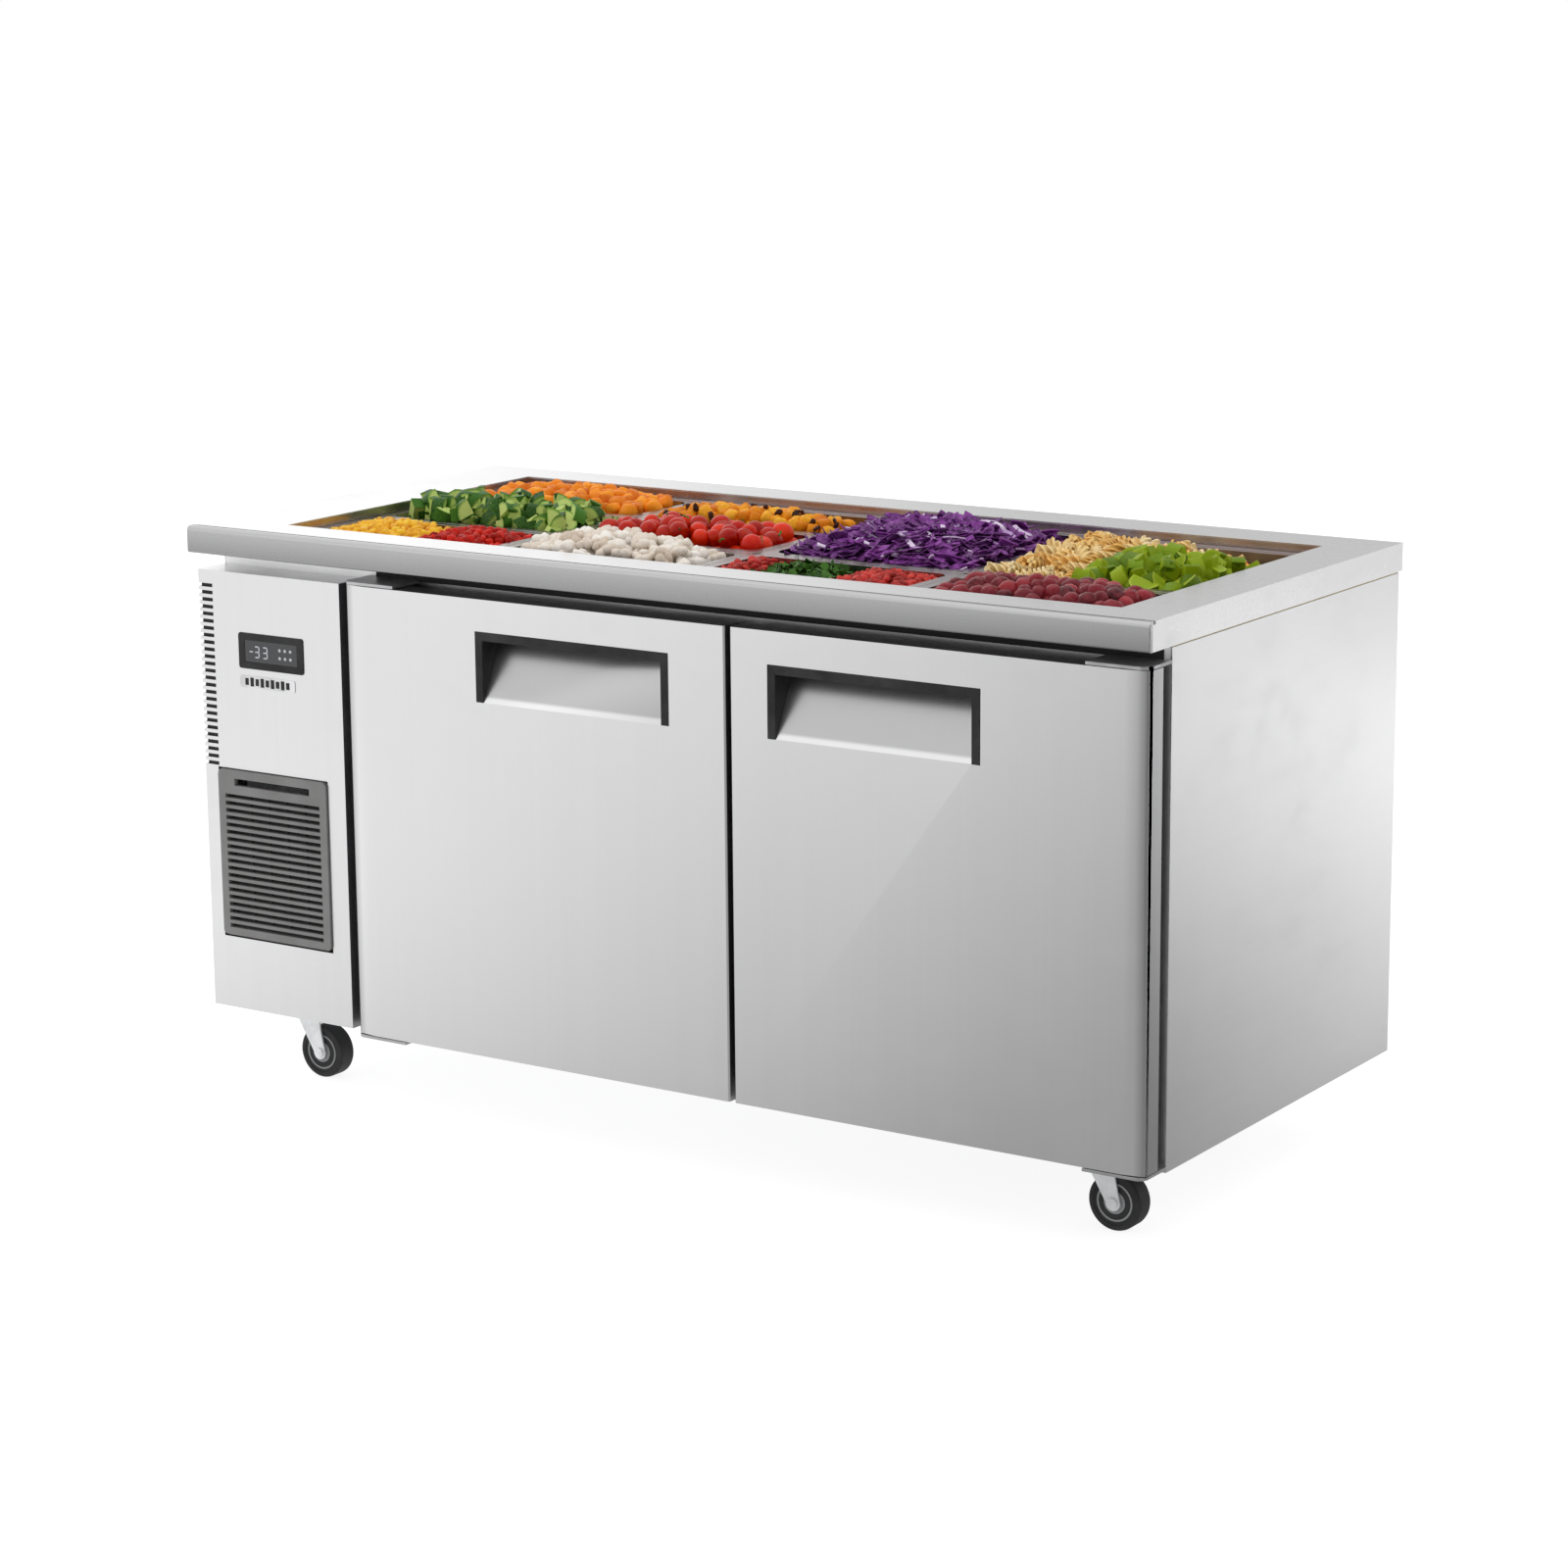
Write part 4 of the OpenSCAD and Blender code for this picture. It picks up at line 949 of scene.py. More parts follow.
class PREPTABLE_OT_machine_front(bpy.types.Operator):
    """Finishes the machine cover, air grille, controller and badge"""
    bl_idname = "preptable.machine_front"
    bl_label = "Machine front"

    def execute(self, context):
        edge = context.scene.prep_table_finish.edge
        refined("compressor_cover", steel("z"), edge, 2, 40)
        refined("grille", grille_plastic(), 0.0006)
        dress("air_filter", filter_mesh())
        refined("controller_housing", black_plastic(), 0.0006)
        refined("display_lens", lens_plastic(), 0.0004)
        self.baffle()
        self.readout()
        self.badge()
        return {"FINISHED"}

    def baffle(self):
        """Black folded strip behind the corner louvre."""
        low, high = corners("compressor_cover")
        gap, sheet, reach, depth = 0.0030, 0.0012, 0.034, 0.030
        foot, head = low.z + 0.30, high.z - 0.006
        piece = box_piece("louvre_baffle", (low.x + gap, low.y + gap, foot),
                          (low.x + reach, low.y + gap + sheet, head))
        pick(piece, lambda f: f.normal.x < -0.9)
        bpy.ops.mesh.inset(thickness=0.0002)
        done()
        side = box_piece("baffle_side", (low.x + gap, low.y + gap + sheet * 0.5, foot),
                         (low.x + gap + sheet, low.y + depth, head))
        piece = join("louvre_baffle", [piece, side])
        soften(piece, 0.0003, 1)
        paint(piece, black_plastic())
        keep(piece, "cabinet")

    def segment(self, centre, tall, size, thick):
        """One bar of a digit, with pointed ends."""
        half = Vector((thick / 2, 0, size / 2)) if tall else Vector((size / 2, 0, thick / 2))
        bar = box_piece("segment", centre - half - Y * 0.0004, centre + half)
        tip = (lambda f: abs(f.normal.z) > 0.9) if tall else (lambda f: abs(f.normal.x) > 0.9)
        pick(bar, tip)
        bpy.ops.mesh.extrude_region()
        bpy.ops.transform.resize(value=(0.15, 1, 1) if tall else (1, 1, 0.15))
        grow = 1 + thick * 0.8 / size
        bpy.ops.transform.resize(value=(1, 1, grow) if tall else (grow, 1, 1))
        done()
        return bar

    def readout(self):
        """Two digits and four small marks, standing a hair proud of the lens."""
        low, high = corners("display_lens")
        face = low.y - 0.0002
        bars, size, thick = [], 0.0074, 0.0018
        three = ((0.5, 2, False), (1, 1.5, True), (1, 0.5, True), (0.5, 0, False), (0.5, 1, False))
        for place in range(2):
            corner = Vector((low.x + 0.018 + place * 0.0145, face, low.z + 0.0072))
            for across, up, tall in three:
                at = corner + Vector((across, 0, up)) * size
                bars.append(self.segment(at, tall, size * 0.72, thick))
        dash = Vector((low.x + 0.0115, face, low.z + 0.0072 + size))
        bars.append(self.segment(dash, False, 0.005, thick))
        for row in range(2):
            for column in range(3):
                at = Vector((high.x - 0.030 + column * 0.0095, face, low.z + 0.0095 + row * 0.011))
                mark = turned("mark", 0.0022, 0.0006, ((0.0009, 0.0002),), 12)
                mark.location = at
                settle(mark)
                bars.append(mark)
        piece = join("display_readout", bars)
        outward(piece)
        paint(piece, readout())
        keep(piece, "cabinet")

    def badge(self):
        """A plain bordered plate with a row of raised bars instead of any lettering."""
        low, high = corners("name_plate")
        piece = refined("name_plate", plated("Badge plate", (0.74, 0.74, 0.75), 0.28), 0.0004)
        bars, count = [], 9
        step = (high.x - low.x - 0.016) / count
        for i in range(count):
            start = low.x + 0.008 + i * step
            rise = 0.0062 if i % 2 else 0.0048
            middle = (low.z + high.z) / 2
            bar = box_piece("bar", (start + step * 0.18, low.y - 0.0006, middle - rise),
                            (start + step * 0.82, low.y + 0.0004, middle + rise))
            soften(bar, 0.0003, 1, weighted=False)
            bars.append(bar)
        piece = join("badge_bars", bars)
        paint(piece, black_plastic())
        keep(piece, "cabinet")


class PREPTABLE_OT_casters(bpy.types.Operator):
    """Makes the wheels, and finishes the forks and brake pedals"""
    bl_idname = "preptable.casters"
    bl_label = "Casters"

    def execute(self, context):
        silver = plated("Caster plate", (0.86, 0.87, 0.88), 0.3, 0.5)
        for end in ("front", "rear"):
            for side in ("left", "right"):
                refined(f"fork_{end}_{side}", silver, 0.0005)
                self.wheel(f"wheel_{end}_{side}")
        for side in ("left", "right"):
            refined("brake_pedal_" + side, silver, 0.0006)
        return {"FINISHED"}

    def wheel(self, node):
        """A soft tyre on a grey nylon hub with webs, and an axle sleeve."""
        low, high = corners(node)
        centre = (low + high) / 2
        radius = (high.x - low.x) / 2
        tyre_w = 0.028
        tyre = turned(node + "_tyre", radius, tyre_w,
                      ((0.0030, 0.0), (0.0012, 0.0010), (0.0050, 0.0)), 56, 0.0035)
        paint(tyre, rubber())
        soften(tyre, 0.0006, 2, 25)
        hub = turned(node + "_hub", radius - 0.0122, tyre_w - 0.001,
                     ((0.0016, 0.0), (0.0010, 0.0024), (0.0070, 0.0), (0.0006, -0.0030), (0.0018, 0.0)), 40)
        paint(hub, moulded("Grey nylon hub", (0.20, 0.205, 0.21), 0.38, 1300.0, 0.12))
        soften(hub, 0.0004, 2, 25)
        webs = []
        for spoke in range(6):
            turn = Matrix.Rotation(math.radians(60 * spoke), 4, "Y")
            for side in (-1, 1):
                web = box_piece("web", (0.010, -0.0008, -0.0009), (radius - 0.0145, 0.0010, 0.0009))
                web.data.transform(Matrix.Translation((0, side * (tyre_w / 2 - 0.0024), 0)))
                web.data.transform(turn)
                soften(web, 0.0003, 1, weighted=False)
                paint(web, moulded("Grey nylon hub", (0.20, 0.205, 0.21)))
                webs.append(web)
        piece = join(node + "_built", [tyre, hub] + webs)
        piece.location = centre
        settle(piece)
        keep(piece, BODY_OF[node], (node,))


class PREPTABLE_OT_refrigeration(bpy.types.Operator):
    """Finishes the compressor, coils, fans, pipes, shelves and control box"""
    bl_idname = "preptable.refrigeration"
    bl_label = "Refrigeration and shelves"

    def execute(self, context):
        refined("wire_shelves", coated_wire())
        refined("shelf_posts", plated(), 0.0005)
        refined("evaporator_coil", fin_metal())
        refined("evaporator_housing", liner_steel(), 0.0004)
        refined("condenser_coil", fin_metal())
        refined("fan_shroud", black_plastic(), 0.0006)
        refined("unit_tray", galvanised(), 0.0005)
        refined("refrigerant_pipes", copper())
        refined("control_box", galvanised(), 0.0012)
        refined("evaporator_fan", black_plastic(), 0.0003)
        refined("condenser_fan", black_plastic(), 0.0004)
        refined("compressor", black_paint(), 0.003, 3)
        return {"FINISHED"}


# ---- stage ----

def emptied(made):
    """The nodes of a new material or world, with nothing in its tree."""
    made.use_nodes = True
    made.node_tree.nodes.clear()
    return Nodes(made.node_tree)


class PREPTABLE_OT_stage(bpy.types.Operator):
    """Sets up the pale floor, the light tent and the camera"""
    bl_idname = "preptable.stage"
    bl_label = "Stage"

    def execute(self, context):
        scene = context.scene
        stage = scene.prep_table_stage
        scene.view_settings.view_transform = "Standard"
        self.floor(stage.light)
        self.tent(stage.light)
        self.sky(scene, stage.light)
        self.camera(scene, stage)
        return {"FINISHED"}

    def floor(self, light):
        """A white floor for the camera, which lights the front of the table more from the left."""
        deselect()
        bpy.ops.mesh.primitive_plane_add(size=60)
        floor = bpy.context.object
        floor.name = "studio_floor"
        made = bpy.data.materials.new("Pale floor")
        n = emptied(made)
        spot = n.split()
        along, back = spot["X"], spot["Y"]
        ramp_left = n.remap(along, -1.75, 0.35, 1.03, 0.30)
        near = n.remap(back, -2.3, -0.9, 1.03, 1.32)
        front = n.math("MULTIPLY", ramp_left, near)
        depth = n.math("SUBTRACT", back, n.math("MULTIPLY", n.math("SUBTRACT", along, 0.75), 1.51))
        side = n.math("ADD", n.remap(along, 1.13, 2.5, 0.55, 1.10), n.math("MULTIPLY", depth, 0.58))
        is_side = n.remap(along, 0.78, 0.95, 0.0, 1.0)
        is_front = n.remap(back, -0.45, -0.1, 1.0, 0.0)
        pattern = n.mix(n.math("MULTIPLY", is_side, n.math("SUBTRACT", 1.0, is_front)), front, side)
        seen = n.add("ShaderNodeBsdfDiffuse", Color=(0.30, 0.30, 0.30, 1))
        white = n.add("ShaderNodeAddShader")
        n.feed(white.inputs[0], seen.outputs[0])
        n.feed(white.inputs[1], n.shine(0.86))
        glossy_ray = n.add("ShaderNodeLightPath").outputs["Is Glossy Ray"]
        n.end(n.blend(glossy_ray, white.outputs[0], n.shine(n.math("MULTIPLY", pattern, light))))
        floor.data.materials.append(made)

    def tent(self, light):
        """Walls of soft light that only reflections and shading see."""
        def back_wall(n):
            across = n.split()["X"]
            left = n.remap(across, -3.3, -1.6, 1.30, 0.66)
            return n.math("ADD", left, n.remap(across, 1.2, 3.2, 0.0, 0.55))

        def front_wall(n):
            spot = n.split()
            left = n.remap(spot["X"], -4.5, 1.2, 1.25, 0.22)
            return n.math("ADD", left, n.remap(spot["Z"], 0.2, 3.0, 0.0, 0.35))

        walls = (("tent_back", (-6, 3.4, 0), (6, 3.4, 4.2), back_wall),
                 ("tent_front", (-6, -5.6, 0), (6, -5.6, 4.2), front_wall))
        for name, low, high, pattern in walls:
            deselect()
            bpy.ops.mesh.primitive_plane_add(size=1, rotation=(math.pi / 2, 0, 0))
            wall = bpy.context.object
            wall.name = name
            wall.scale = (high[0] - low[0], high[2] - low[2], 1)
            wall.location = (Vector(low) + Vector(high)) / 2
            settle(wall)
            made = bpy.data.materials.new(name.replace("_", " "))
            n = emptied(made)
            n.end(n.shine(n.math("MULTIPLY", pattern(n), light)))
            wall.data.materials.append(made)
            wall.visible_camera = False
            wall.visible_shadow = False

    def sky(self, scene, light):
        """A white surround, which lights the table more from above and from the left."""
        scene.world = bpy.data.worlds.new("Studio")
        n = emptied(scene.world)
        way = n.split(n.add("ShaderNodeTexCoord").outputs["Generated"])
        overhead = n.remap(way["Z"], -0.1, 1.0, 0.62, 1.35)
        left = n.remap(way["X"], -1.0, 1.0, 1.2, 0.75)
        soft = n.math("MULTIPLY", n.math("MULTIPLY", overhead, left), light)
        camera_ray = n.add("ShaderNodeLightPath").outputs["Is Camera Ray"]
        n.end(n.blend(camera_ray, n.shine(soft, "Background"), n.shine(1.0, "Background")), "World")

    def camera(self, scene, stage):
        az, el, roll = stage.azimuth, stage.elevation, stage.roll
        back = Vector((math.sin(az) * math.cos(el), -math.cos(az) * math.cos(el), math.sin(el)))
        right = Vector((math.cos(az), math.sin(az), 0))
        up = back.cross(right)
        across = right * math.cos(roll) + up * math.sin(roll)
        above = up * math.cos(roll) - right * math.sin(roll)
        deselect()
        bpy.ops.object.camera_add(location=stage.camera)
        camera = bpy.context.object
        camera.name = "studio_camera"
        turn = Matrix((across, above, back)).transposed().to_4x4()
        camera.matrix_world = Matrix.Translation(Vector(stage.camera)) @ turn
        camera.data.lens = stage.lens
        camera.data.sensor_width = 36
        scene.camera = camera


# ---- food ----

TOP_LIMIT = CAD_BOX[1][2] + 0.0225


def tagged(piece, name, value):
    """Adds a number to every vertex, which the food materials read."""
    mark = piece.data.attributes.get(name) or piece.data.attributes.new(name, "FLOAT", "POINT")
    values = value if hasattr(value, "__len__") else [value] * len(piece.data.vertices)
    mark.data.foreach_set("value", np.array(values, dtype=np.float32))


def jostle(piece, offset, seed):
    """Moves each vertex a little, so no two pieces are alike."""
    whole(piece)
    bpy.ops.transform.vertex_random(offset=offset, uniform=0.4, normal=0.0, seed=seed)
    done()


def finish_template(piece, *materials):
    smooth(piece, 50)
    paint(piece, *materials)
    tagged(piece, "tint", 0.0)
    return piece


def diced(name, size, finish, kinds=3, round_by=0.16, segments=1, stretch=(1, 1, 1)):
    """Cut cubes with slightly uneven corners."""
    made = []
    for kind in range(kinds):
        deselect()
        bpy.ops.mesh.primitive_cube_add(size=size)
        piece = bpy.context.object
        piece.name = name
        piece.scale = stretch
        settle(piece)
        jostle(piece, size * 0.10, kind + 1)
        modify(piece, "BEVEL", width=size * round_by, segments=segments, limit_method="NONE")
        made.append(finish_template(piece, finish))
    return made


def rounded(name, radius, finish, kinds=2, detail=2, stretch=(1, 1, 1), bumpy=0.05):
    """Berries, tomatoes and florets from a ball."""
    made = []
    for kind in range(kinds):
        deselect()
        bpy.ops.mesh.primitive_ico_sphere_add(subdivisions=detail, radius=radius)
        piece = bpy.context.object
        piece.name = name
        piece.scale = stretch
        settle(piece)
        jostle(piece, radius * bumpy, kind + 3)
        top = max(v.co.z for v in piece.data.vertices)
        pick(piece, lambda v: v.co.z > top - radius * 0.06, "VERT")
        bpy.ops.transform.translate(value=(0, 0, -radius * 0.14))
        done()
        made.append(finish_template(piece, finish))
    return made


def slices(name, radius, thick, flesh, skin, arcs=(90, 180), sides=20):
    """Wedges and half rounds with their skin on the outside."""
    made = []
    for kind, arc in enumerate(arcs):
        piece = rod(name, (0, 0, -thick / 2), (0, 0, thick / 2), radius, sides)
        whole(piece)
        for axis in (Y, X) if arc < 180 else (Y,):
            bpy.ops.mesh.select_all(action="SELECT")
            bpy.ops.mesh.bisect(plane_co=axis * 0.0001, plane_no=axis, use_fill=True, clear_inner=True)
        bpy.ops.mesh.select_all(action="SELECT")
        bpy.ops.mesh.poke()
        done()
        outward(piece)
        jostle(piece, radius * 0.03, kind + 5)
        paint(piece, flesh, skin)
        finish_template(piece, flesh, skin)
        for face in piece.data.polygons:
            out = math.hypot(face.center.x, face.center.y)
            face.material_index = 1 if out > radius * 0.80 and abs(face.normal.z) < 0.5 else 0
        tagged(piece, "ring", [math.hypot(v.co.x, v.co.y) / radius for v in piece.data.vertices])
        made.append(piece)
    return made


def strips(name, size, finish, kinds=4, cuts=9, curl=(60, 150), twist=70):
    """Curled shreds: a thin bar bent and twisted along its length."""
    made = []
    for kind in range(kinds):
        deselect()
        bpy.ops.mesh.primitive_cube_add(size=1)
        piece = bpy.context.object
        piece.name = name
        span = size[0] * (0.75 + 0.14 * kind)
        piece.scale = (span, size[1], size[2])
        settle(piece)
        cut_across(piece, X, -span / 2, span, cuts)
        modify(piece, "SIMPLE_DEFORM", deform_method="TWIST", deform_axis="X",
               angle=math.radians(twist * (1 if kind % 2 else -1)))
        turn = curl[0] + (curl[1] - curl[0]) * kind / max(1, kinds - 1)
        modify(piece, "SIMPLE_DEFORM", deform_method="BEND", deform_axis="Z", angle=math.radians(turn))
        bpy.ops.object.origin_set(type="ORIGIN_GEOMETRY", center="BOUNDS")
        piece.location = (0, 0, 0)
        made.append(finish_template(piece, finish))
    return made


class Heap:
    """A filling inside a pan: heights are measured from the pan's rim."""

    def __init__(self, node, across=(0, 1), back=(0, 1), edge=-0.010, crown=0.010, apex=(0.5, 0.5)):
        low, high = corners(node)
        wall = 0.0142
        inner_low, inner_high = low + Vector((wall, wall, 0)), high - Vector((wall, wall, 0))
        self.node, self.rim, self.floor = node, high.z, low.z + 0.0014
        self.x = [inner_low.x + (inner_high.x - inner_low.x) * f for f in across]
        self.y = [inner_low.y + (inner_high.y - inner_low.y) * f for f in back]
        self.walls = (inner_low, inner_high)
        self.edge = edge
        self.crown = crown * bpy.context.scene.prep_table_food.crown
        self.apex = apex

    def height(self, x, y):
        rise = 1.0
        for value, (start, end), apex in ((x, self.x, self.apex[0]), (y, self.y, self.apex[1])):
            part = min(1, max(0, (value - start) / (end - start)))
            away = (apex - part) / apex if part < apex else (part - apex) / max(1e-6, 1 - apex)
            rise *= 1 - abs(away) ** 2.4
        return self.rim + self.edge + (self.crown - self.edge) * rise ** 0.75

    def holds(self, x, y, margin):
        """Whether a piece of that half size clears the walls and the rounded corners."""
        low, high = self.walls
        corner = 0.0228
        dx = max(low.x + corner - x, x - high.x + corner, 0)
        dy = max(low.y + corner - y, y - high.y + corner, 0)
        inside = low.x + margin <= x <= high.x - margin and low.y + margin <= y <= high.y - margin
        return inside and math.hypot(dx, dy) <= corner - margin

    def bed(self, name, finish, sink):
        """The filling under the top pieces, down to the pan's floor."""
        inset = 0.0082
        cells = 22
        low, high = self.walls
        x0, x1 = max(self.x[0], low.x + inset), min(self.x[1], high.x - inset)
        y0, y1 = max(self.y[0], low.y + inset), min(self.y[1], high.y - inset)
        deselect()
        bpy.ops.mesh.primitive_grid_add(x_subdivisions=cells, y_subdivisions=cells, size=1)
        piece = bpy.context.object
        piece.name = name
        piece.scale = (x1 - x0, y1 - y0, 1)
        piece.location = ((x0 + x1) / 2, (y0 + y1) / 2, self.floor)
        settle(piece)
        pick(piece, lambda f: True)
        bpy.ops.mesh.extrude_region_move(TRANSFORM_OT_translate={"value": (0, 0, 0.05)})
        done()
        order = random.Random(len(name))
        for vertex in piece.data.vertices:
            if vertex.co.z > self.floor + 0.02:
                vertex.co.z = self.height(vertex.co.x, vertex.co.y) - sink + order.uniform(-0.0012, 0.0012)
        outward(piece)
        finish_template(piece, finish)
        # painted shade: a tint of -1 darkens the whole bed, which shows only in the gaps between the top
        # pieces
        tagged(piece, "tint", -1.0)
        return piece


UNEVEN, ROW_PITCH = 0.32, 0.87


def scatter(heap, templates, spacing, half, seed, layers=1, tilt=math.pi, lift=0.0, density=1.0, tints=(0, 1),
            grow=(0.85, 1.15)):
    """Copies of the templates laid over a heap on an uneven grid, in one or two layers."""
    order = random.Random(bpy.context.scene.prep_table_food.seed * 1000 + seed)
    parts = []
    rows = max(1, int((heap.y[1] - heap.y[0]) / (spacing * ROW_PITCH)))
    columns = max(1, int((heap.x[1] - heap.x[0]) / spacing))
    for layer in range(layers):
        for row in range(rows + 1):
            for column in range(columns + 1):
                x = heap.x[0] + (column + 0.5 * (row % 2) + order.uniform(-UNEVEN, UNEVEN)) * spacing
                y = heap.y[0] + (row + 0.3 + order.uniform(-UNEVEN, UNEVEN)) * spacing * ROW_PITCH
                turn = Euler((order.uniform(-tilt, tilt), order.uniform(-tilt, tilt),
                              order.uniform(-math.pi, math.pi)))
                size = order.uniform(*grow)
                tint = order.uniform(*tints)
                kind = order.randrange(len(templates))
                rise = order.uniform(-0.25, 0.35) * half
                if order.random() > density or not heap.holds(x, y, half):
                    continue
                z = heap.height(x, y) + lift + rise - (layers - 1 - layer) * half * 1.1
                z = min(z, TOP_LIMIT - half * 1.15)
                matrix = Matrix.Translation((x, y, z)) @ turn.to_matrix().to_4x4() @ Matrix.Scale(size, 4)
                part = copy_of(templates[kind], matrix)
                tagged(part, "tint", tint)
                parts.append(part)
    return parts


def serve(name, node, parts, templates):
    """Joins a filling into one piece that lifts out with its pan."""
    piece = join(name, parts)
    for vertex in piece.data.vertices:
        if vertex.co.z > TOP_LIMIT:
            vertex.co.z = TOP_LIMIT - (vertex.co.z - TOP_LIMIT) * 0.2
    discard(*templates)
    keep(piece, BODY_OF[node])


def fill(name, heap, kinds, finish, sink, *laid, bed=None, **settings):
    """Lays cut food over a heap with its bed below, and joins it; laid is what scatter asks for."""
    parts = scatter(heap, kinds, *laid, **settings)
    parts.append(heap.bed(bed or name + "_bed", finish, sink))
    serve(name, heap.node, parts, kinds)


def food(name, dark, middle, light, fleck, mottle=0.3, scale=160.0, bump=0.2, **plain):
    """A moist food surface whose colour varies from piece to piece, with painted shade where its tint is
    below zero.
    """
    settings = {"Roughness": 0.42, "Specular_IOR_Level": 0.10}
    settings.update(plain)

    def build(n):
        ripe_and_shaded = use(n, ripeness_and_shade(), Dark=(*dark, 1), Middle=(*middle, 1), Light=(*light, 1), Fleck=(*fleck, 1),
                   Mottle=mottle, Mottle_Scale=scale)
        return {"Base_Color": ripe_and_shaded["Colour"], "Normal": n.bump(ripe_and_shaded["Height"], bump, 0.0015)}
    return material(name, build, **settings)


def cut_flesh(name, core, flesh, rim, scale=500.0):
    """Colour rings from the middle of a slice out to its skin, with seeds."""
    def build(n):
        ring = n.mark("ring")
        seeds = n.cells(scale)["Distance"]
        rings = n.ramp(ring, (0.0, core), (0.5, flesh), (0.86, flesh), (0.97, rim))
        seeded = n.mix(n.math("MULTIPLY", n.remap(seeds, 0.12, 0.25, 0.6, 0.0),
                              n.remap(ring, 0.3, 0.6, 1.0, 0.0)), rings, rim)
        return {"Base_Color": n.mix(n.math("MULTIPLY", n.mark("tint"), 0.35), seeded, flesh),
                "Normal": n.bump(seeds, 0.15, 0.0008)}
    return material(name, build, Roughness=0.42, Specular_IOR_Level=0.10)


class PREPTABLE_OT_peppers(bpy.types.Operator):
    """Fills the front left pan with diced yellow and red peppers"""
    bl_idname = "preptable.peppers"
    bl_label = "Diced peppers"

    def execute(self, context):
        yellow = food("Yellow pepper", (0.66, 0.24, 0.003), (0.84, 0.42, 0.006), (0.90, 0.58, 0.03),
                      (0.92, 0.66, 0.12), 0.35, 240.0)
        red = food("Red pepper", (0.22, 0.001, 0.001), (0.46, 0.003, 0.001), (0.62, 0.012, 0.004),
                   (0.72, 0.06, 0.02), 0.25, 240.0)
        for name, across, finish, seed in (("food_yellow_pepper", (0, 0.52), yellow, 11),
                                           ("food_red_pepper", (0.52, 1), red, 12)):
            heap = Heap("pan_1_front", across, (0, 1), -0.013, 0.004, (0.5, 0.62))
            kinds = diced(name, 0.0132, finish, 4, 0.18, 1, (1, 1, 0.72))
            fill(name, heap, kinds, finish, 0.012, 0.0124, 0.0068, seed, 2)
        return {"FINISHED"}


class PREPTABLE_OT_cucumber(bpy.types.Operator):
    """Fills the middle left pan with cucumber chunks"""
    bl_idname = "preptable.cucumber"
    bl_label = "Cucumber"

    def execute(self, context):
        flesh = cut_flesh("Cucumber flesh", (0.60, 0.66, 0.22), (0.50, 0.62, 0.18), (0.12, 0.30, 0.03))
        skin = food("Cucumber skin", (0.006, 0.030, 0.004), (0.014, 0.070, 0.008), (0.05, 0.17, 0.015),
                    (0.14, 0.30, 0.04), 0.3, 300.0, 0.3)
        heap = Heap("pan_1_middle", (0, 1), (0, 1), -0.006, 0.012, (0.45, 0.55))
        kinds = slices("cucumber", 0.0215, 0.017, flesh, skin, (90, 180, 90))
        fill("food_cucumber", heap, kinds, skin, 0.016, 0.0205, 0.0105, 21, 2, lift=0.002,
             bed="cucumber_bed")
        return {"FINISHED"}


class PREPTABLE_OT_melon(bpy.types.Operator):
    """Fills the rear left pan with orange melon chunks"""
    bl_idname = "preptable.melon"
    bl_label = "Melon"

    def execute(self, context):
        flesh = food("Orange melon", (0.58, 0.11, 0.002), (0.80, 0.20, 0.003), (0.90, 0.32, 0.012),
                     (0.94, 0.44, 0.06), 0.3, 180.0)
        heap = Heap("pan_1_rear", (0, 1), (0, 1), -0.006, 0.010, (0.5, 0.5))
        kinds = diced("melon", 0.0205, flesh, 4, 0.30, 2)
        fill("food_melon", heap, kinds, flesh, 0.014, 0.0200, 0.0105, 31, 2, bed="melon_bed")
        return {"FINISHED"}


class PREPTABLE_OT_cauliflower(bpy.types.Operator):
    """Fills a front pan with cauliflower florets"""
    bl_idname = "preptable.cauliflower"
    bl_label = "Cauliflower"

    def execute(self, context):
        curd = food("Cauliflower curd", (0.66, 0.56, 0.46), (0.86, 0.80, 0.72), (0.92, 0.89, 0.84),
                    (0.60, 0.46, 0.34), 0.2, 420.0, 0.55, Roughness=0.7, Specular_IOR_Level=0.1)
        order = random.Random(context.scene.prep_table_food.seed + 40)
        buds = rounded("bud", 0.0078, curd, 2, 2, (1, 1, 0.9), 0.16)
        florets = []
        for kind in range(3):
            parts = []
            for bud in range(7):
                around = math.radians(bud * 60 + order.uniform(-15, 15))
                out = 0.0 if bud == 6 else 0.0094
                at = Matrix.Translation((math.cos(around) * out, math.sin(around) * out,
                                         0.0045 if bud == 6 else order.uniform(-0.0027, 0.0018)))
                parts.append(copy_of(buds[bud % 2], at @ Matrix.Scale(order.uniform(0.8, 1.15), 4)))
            stalk = rod("stalk", (0, 0, -0.016), (0, 0, 0), 0.0048, 8)
            paint(stalk, curd)
            smooth(stalk)
            tagged(stalk, "tint", 0.3)
            florets.append(join("floret", parts + [stalk]))
        heap = Heap("pan_2_front", (0, 1), (0, 1), -0.014, 0.014, (0.5, 0.66))
        parts = scatter(heap, florets, 0.0285, 0.0135, 41, 2, tilt=0.9)
        parts.append(heap.bed("cauliflower_bed", curd, 0.013))
        serve("food_cauliflower", heap.node, parts, florets + buds)
        return {"FINISHED"}


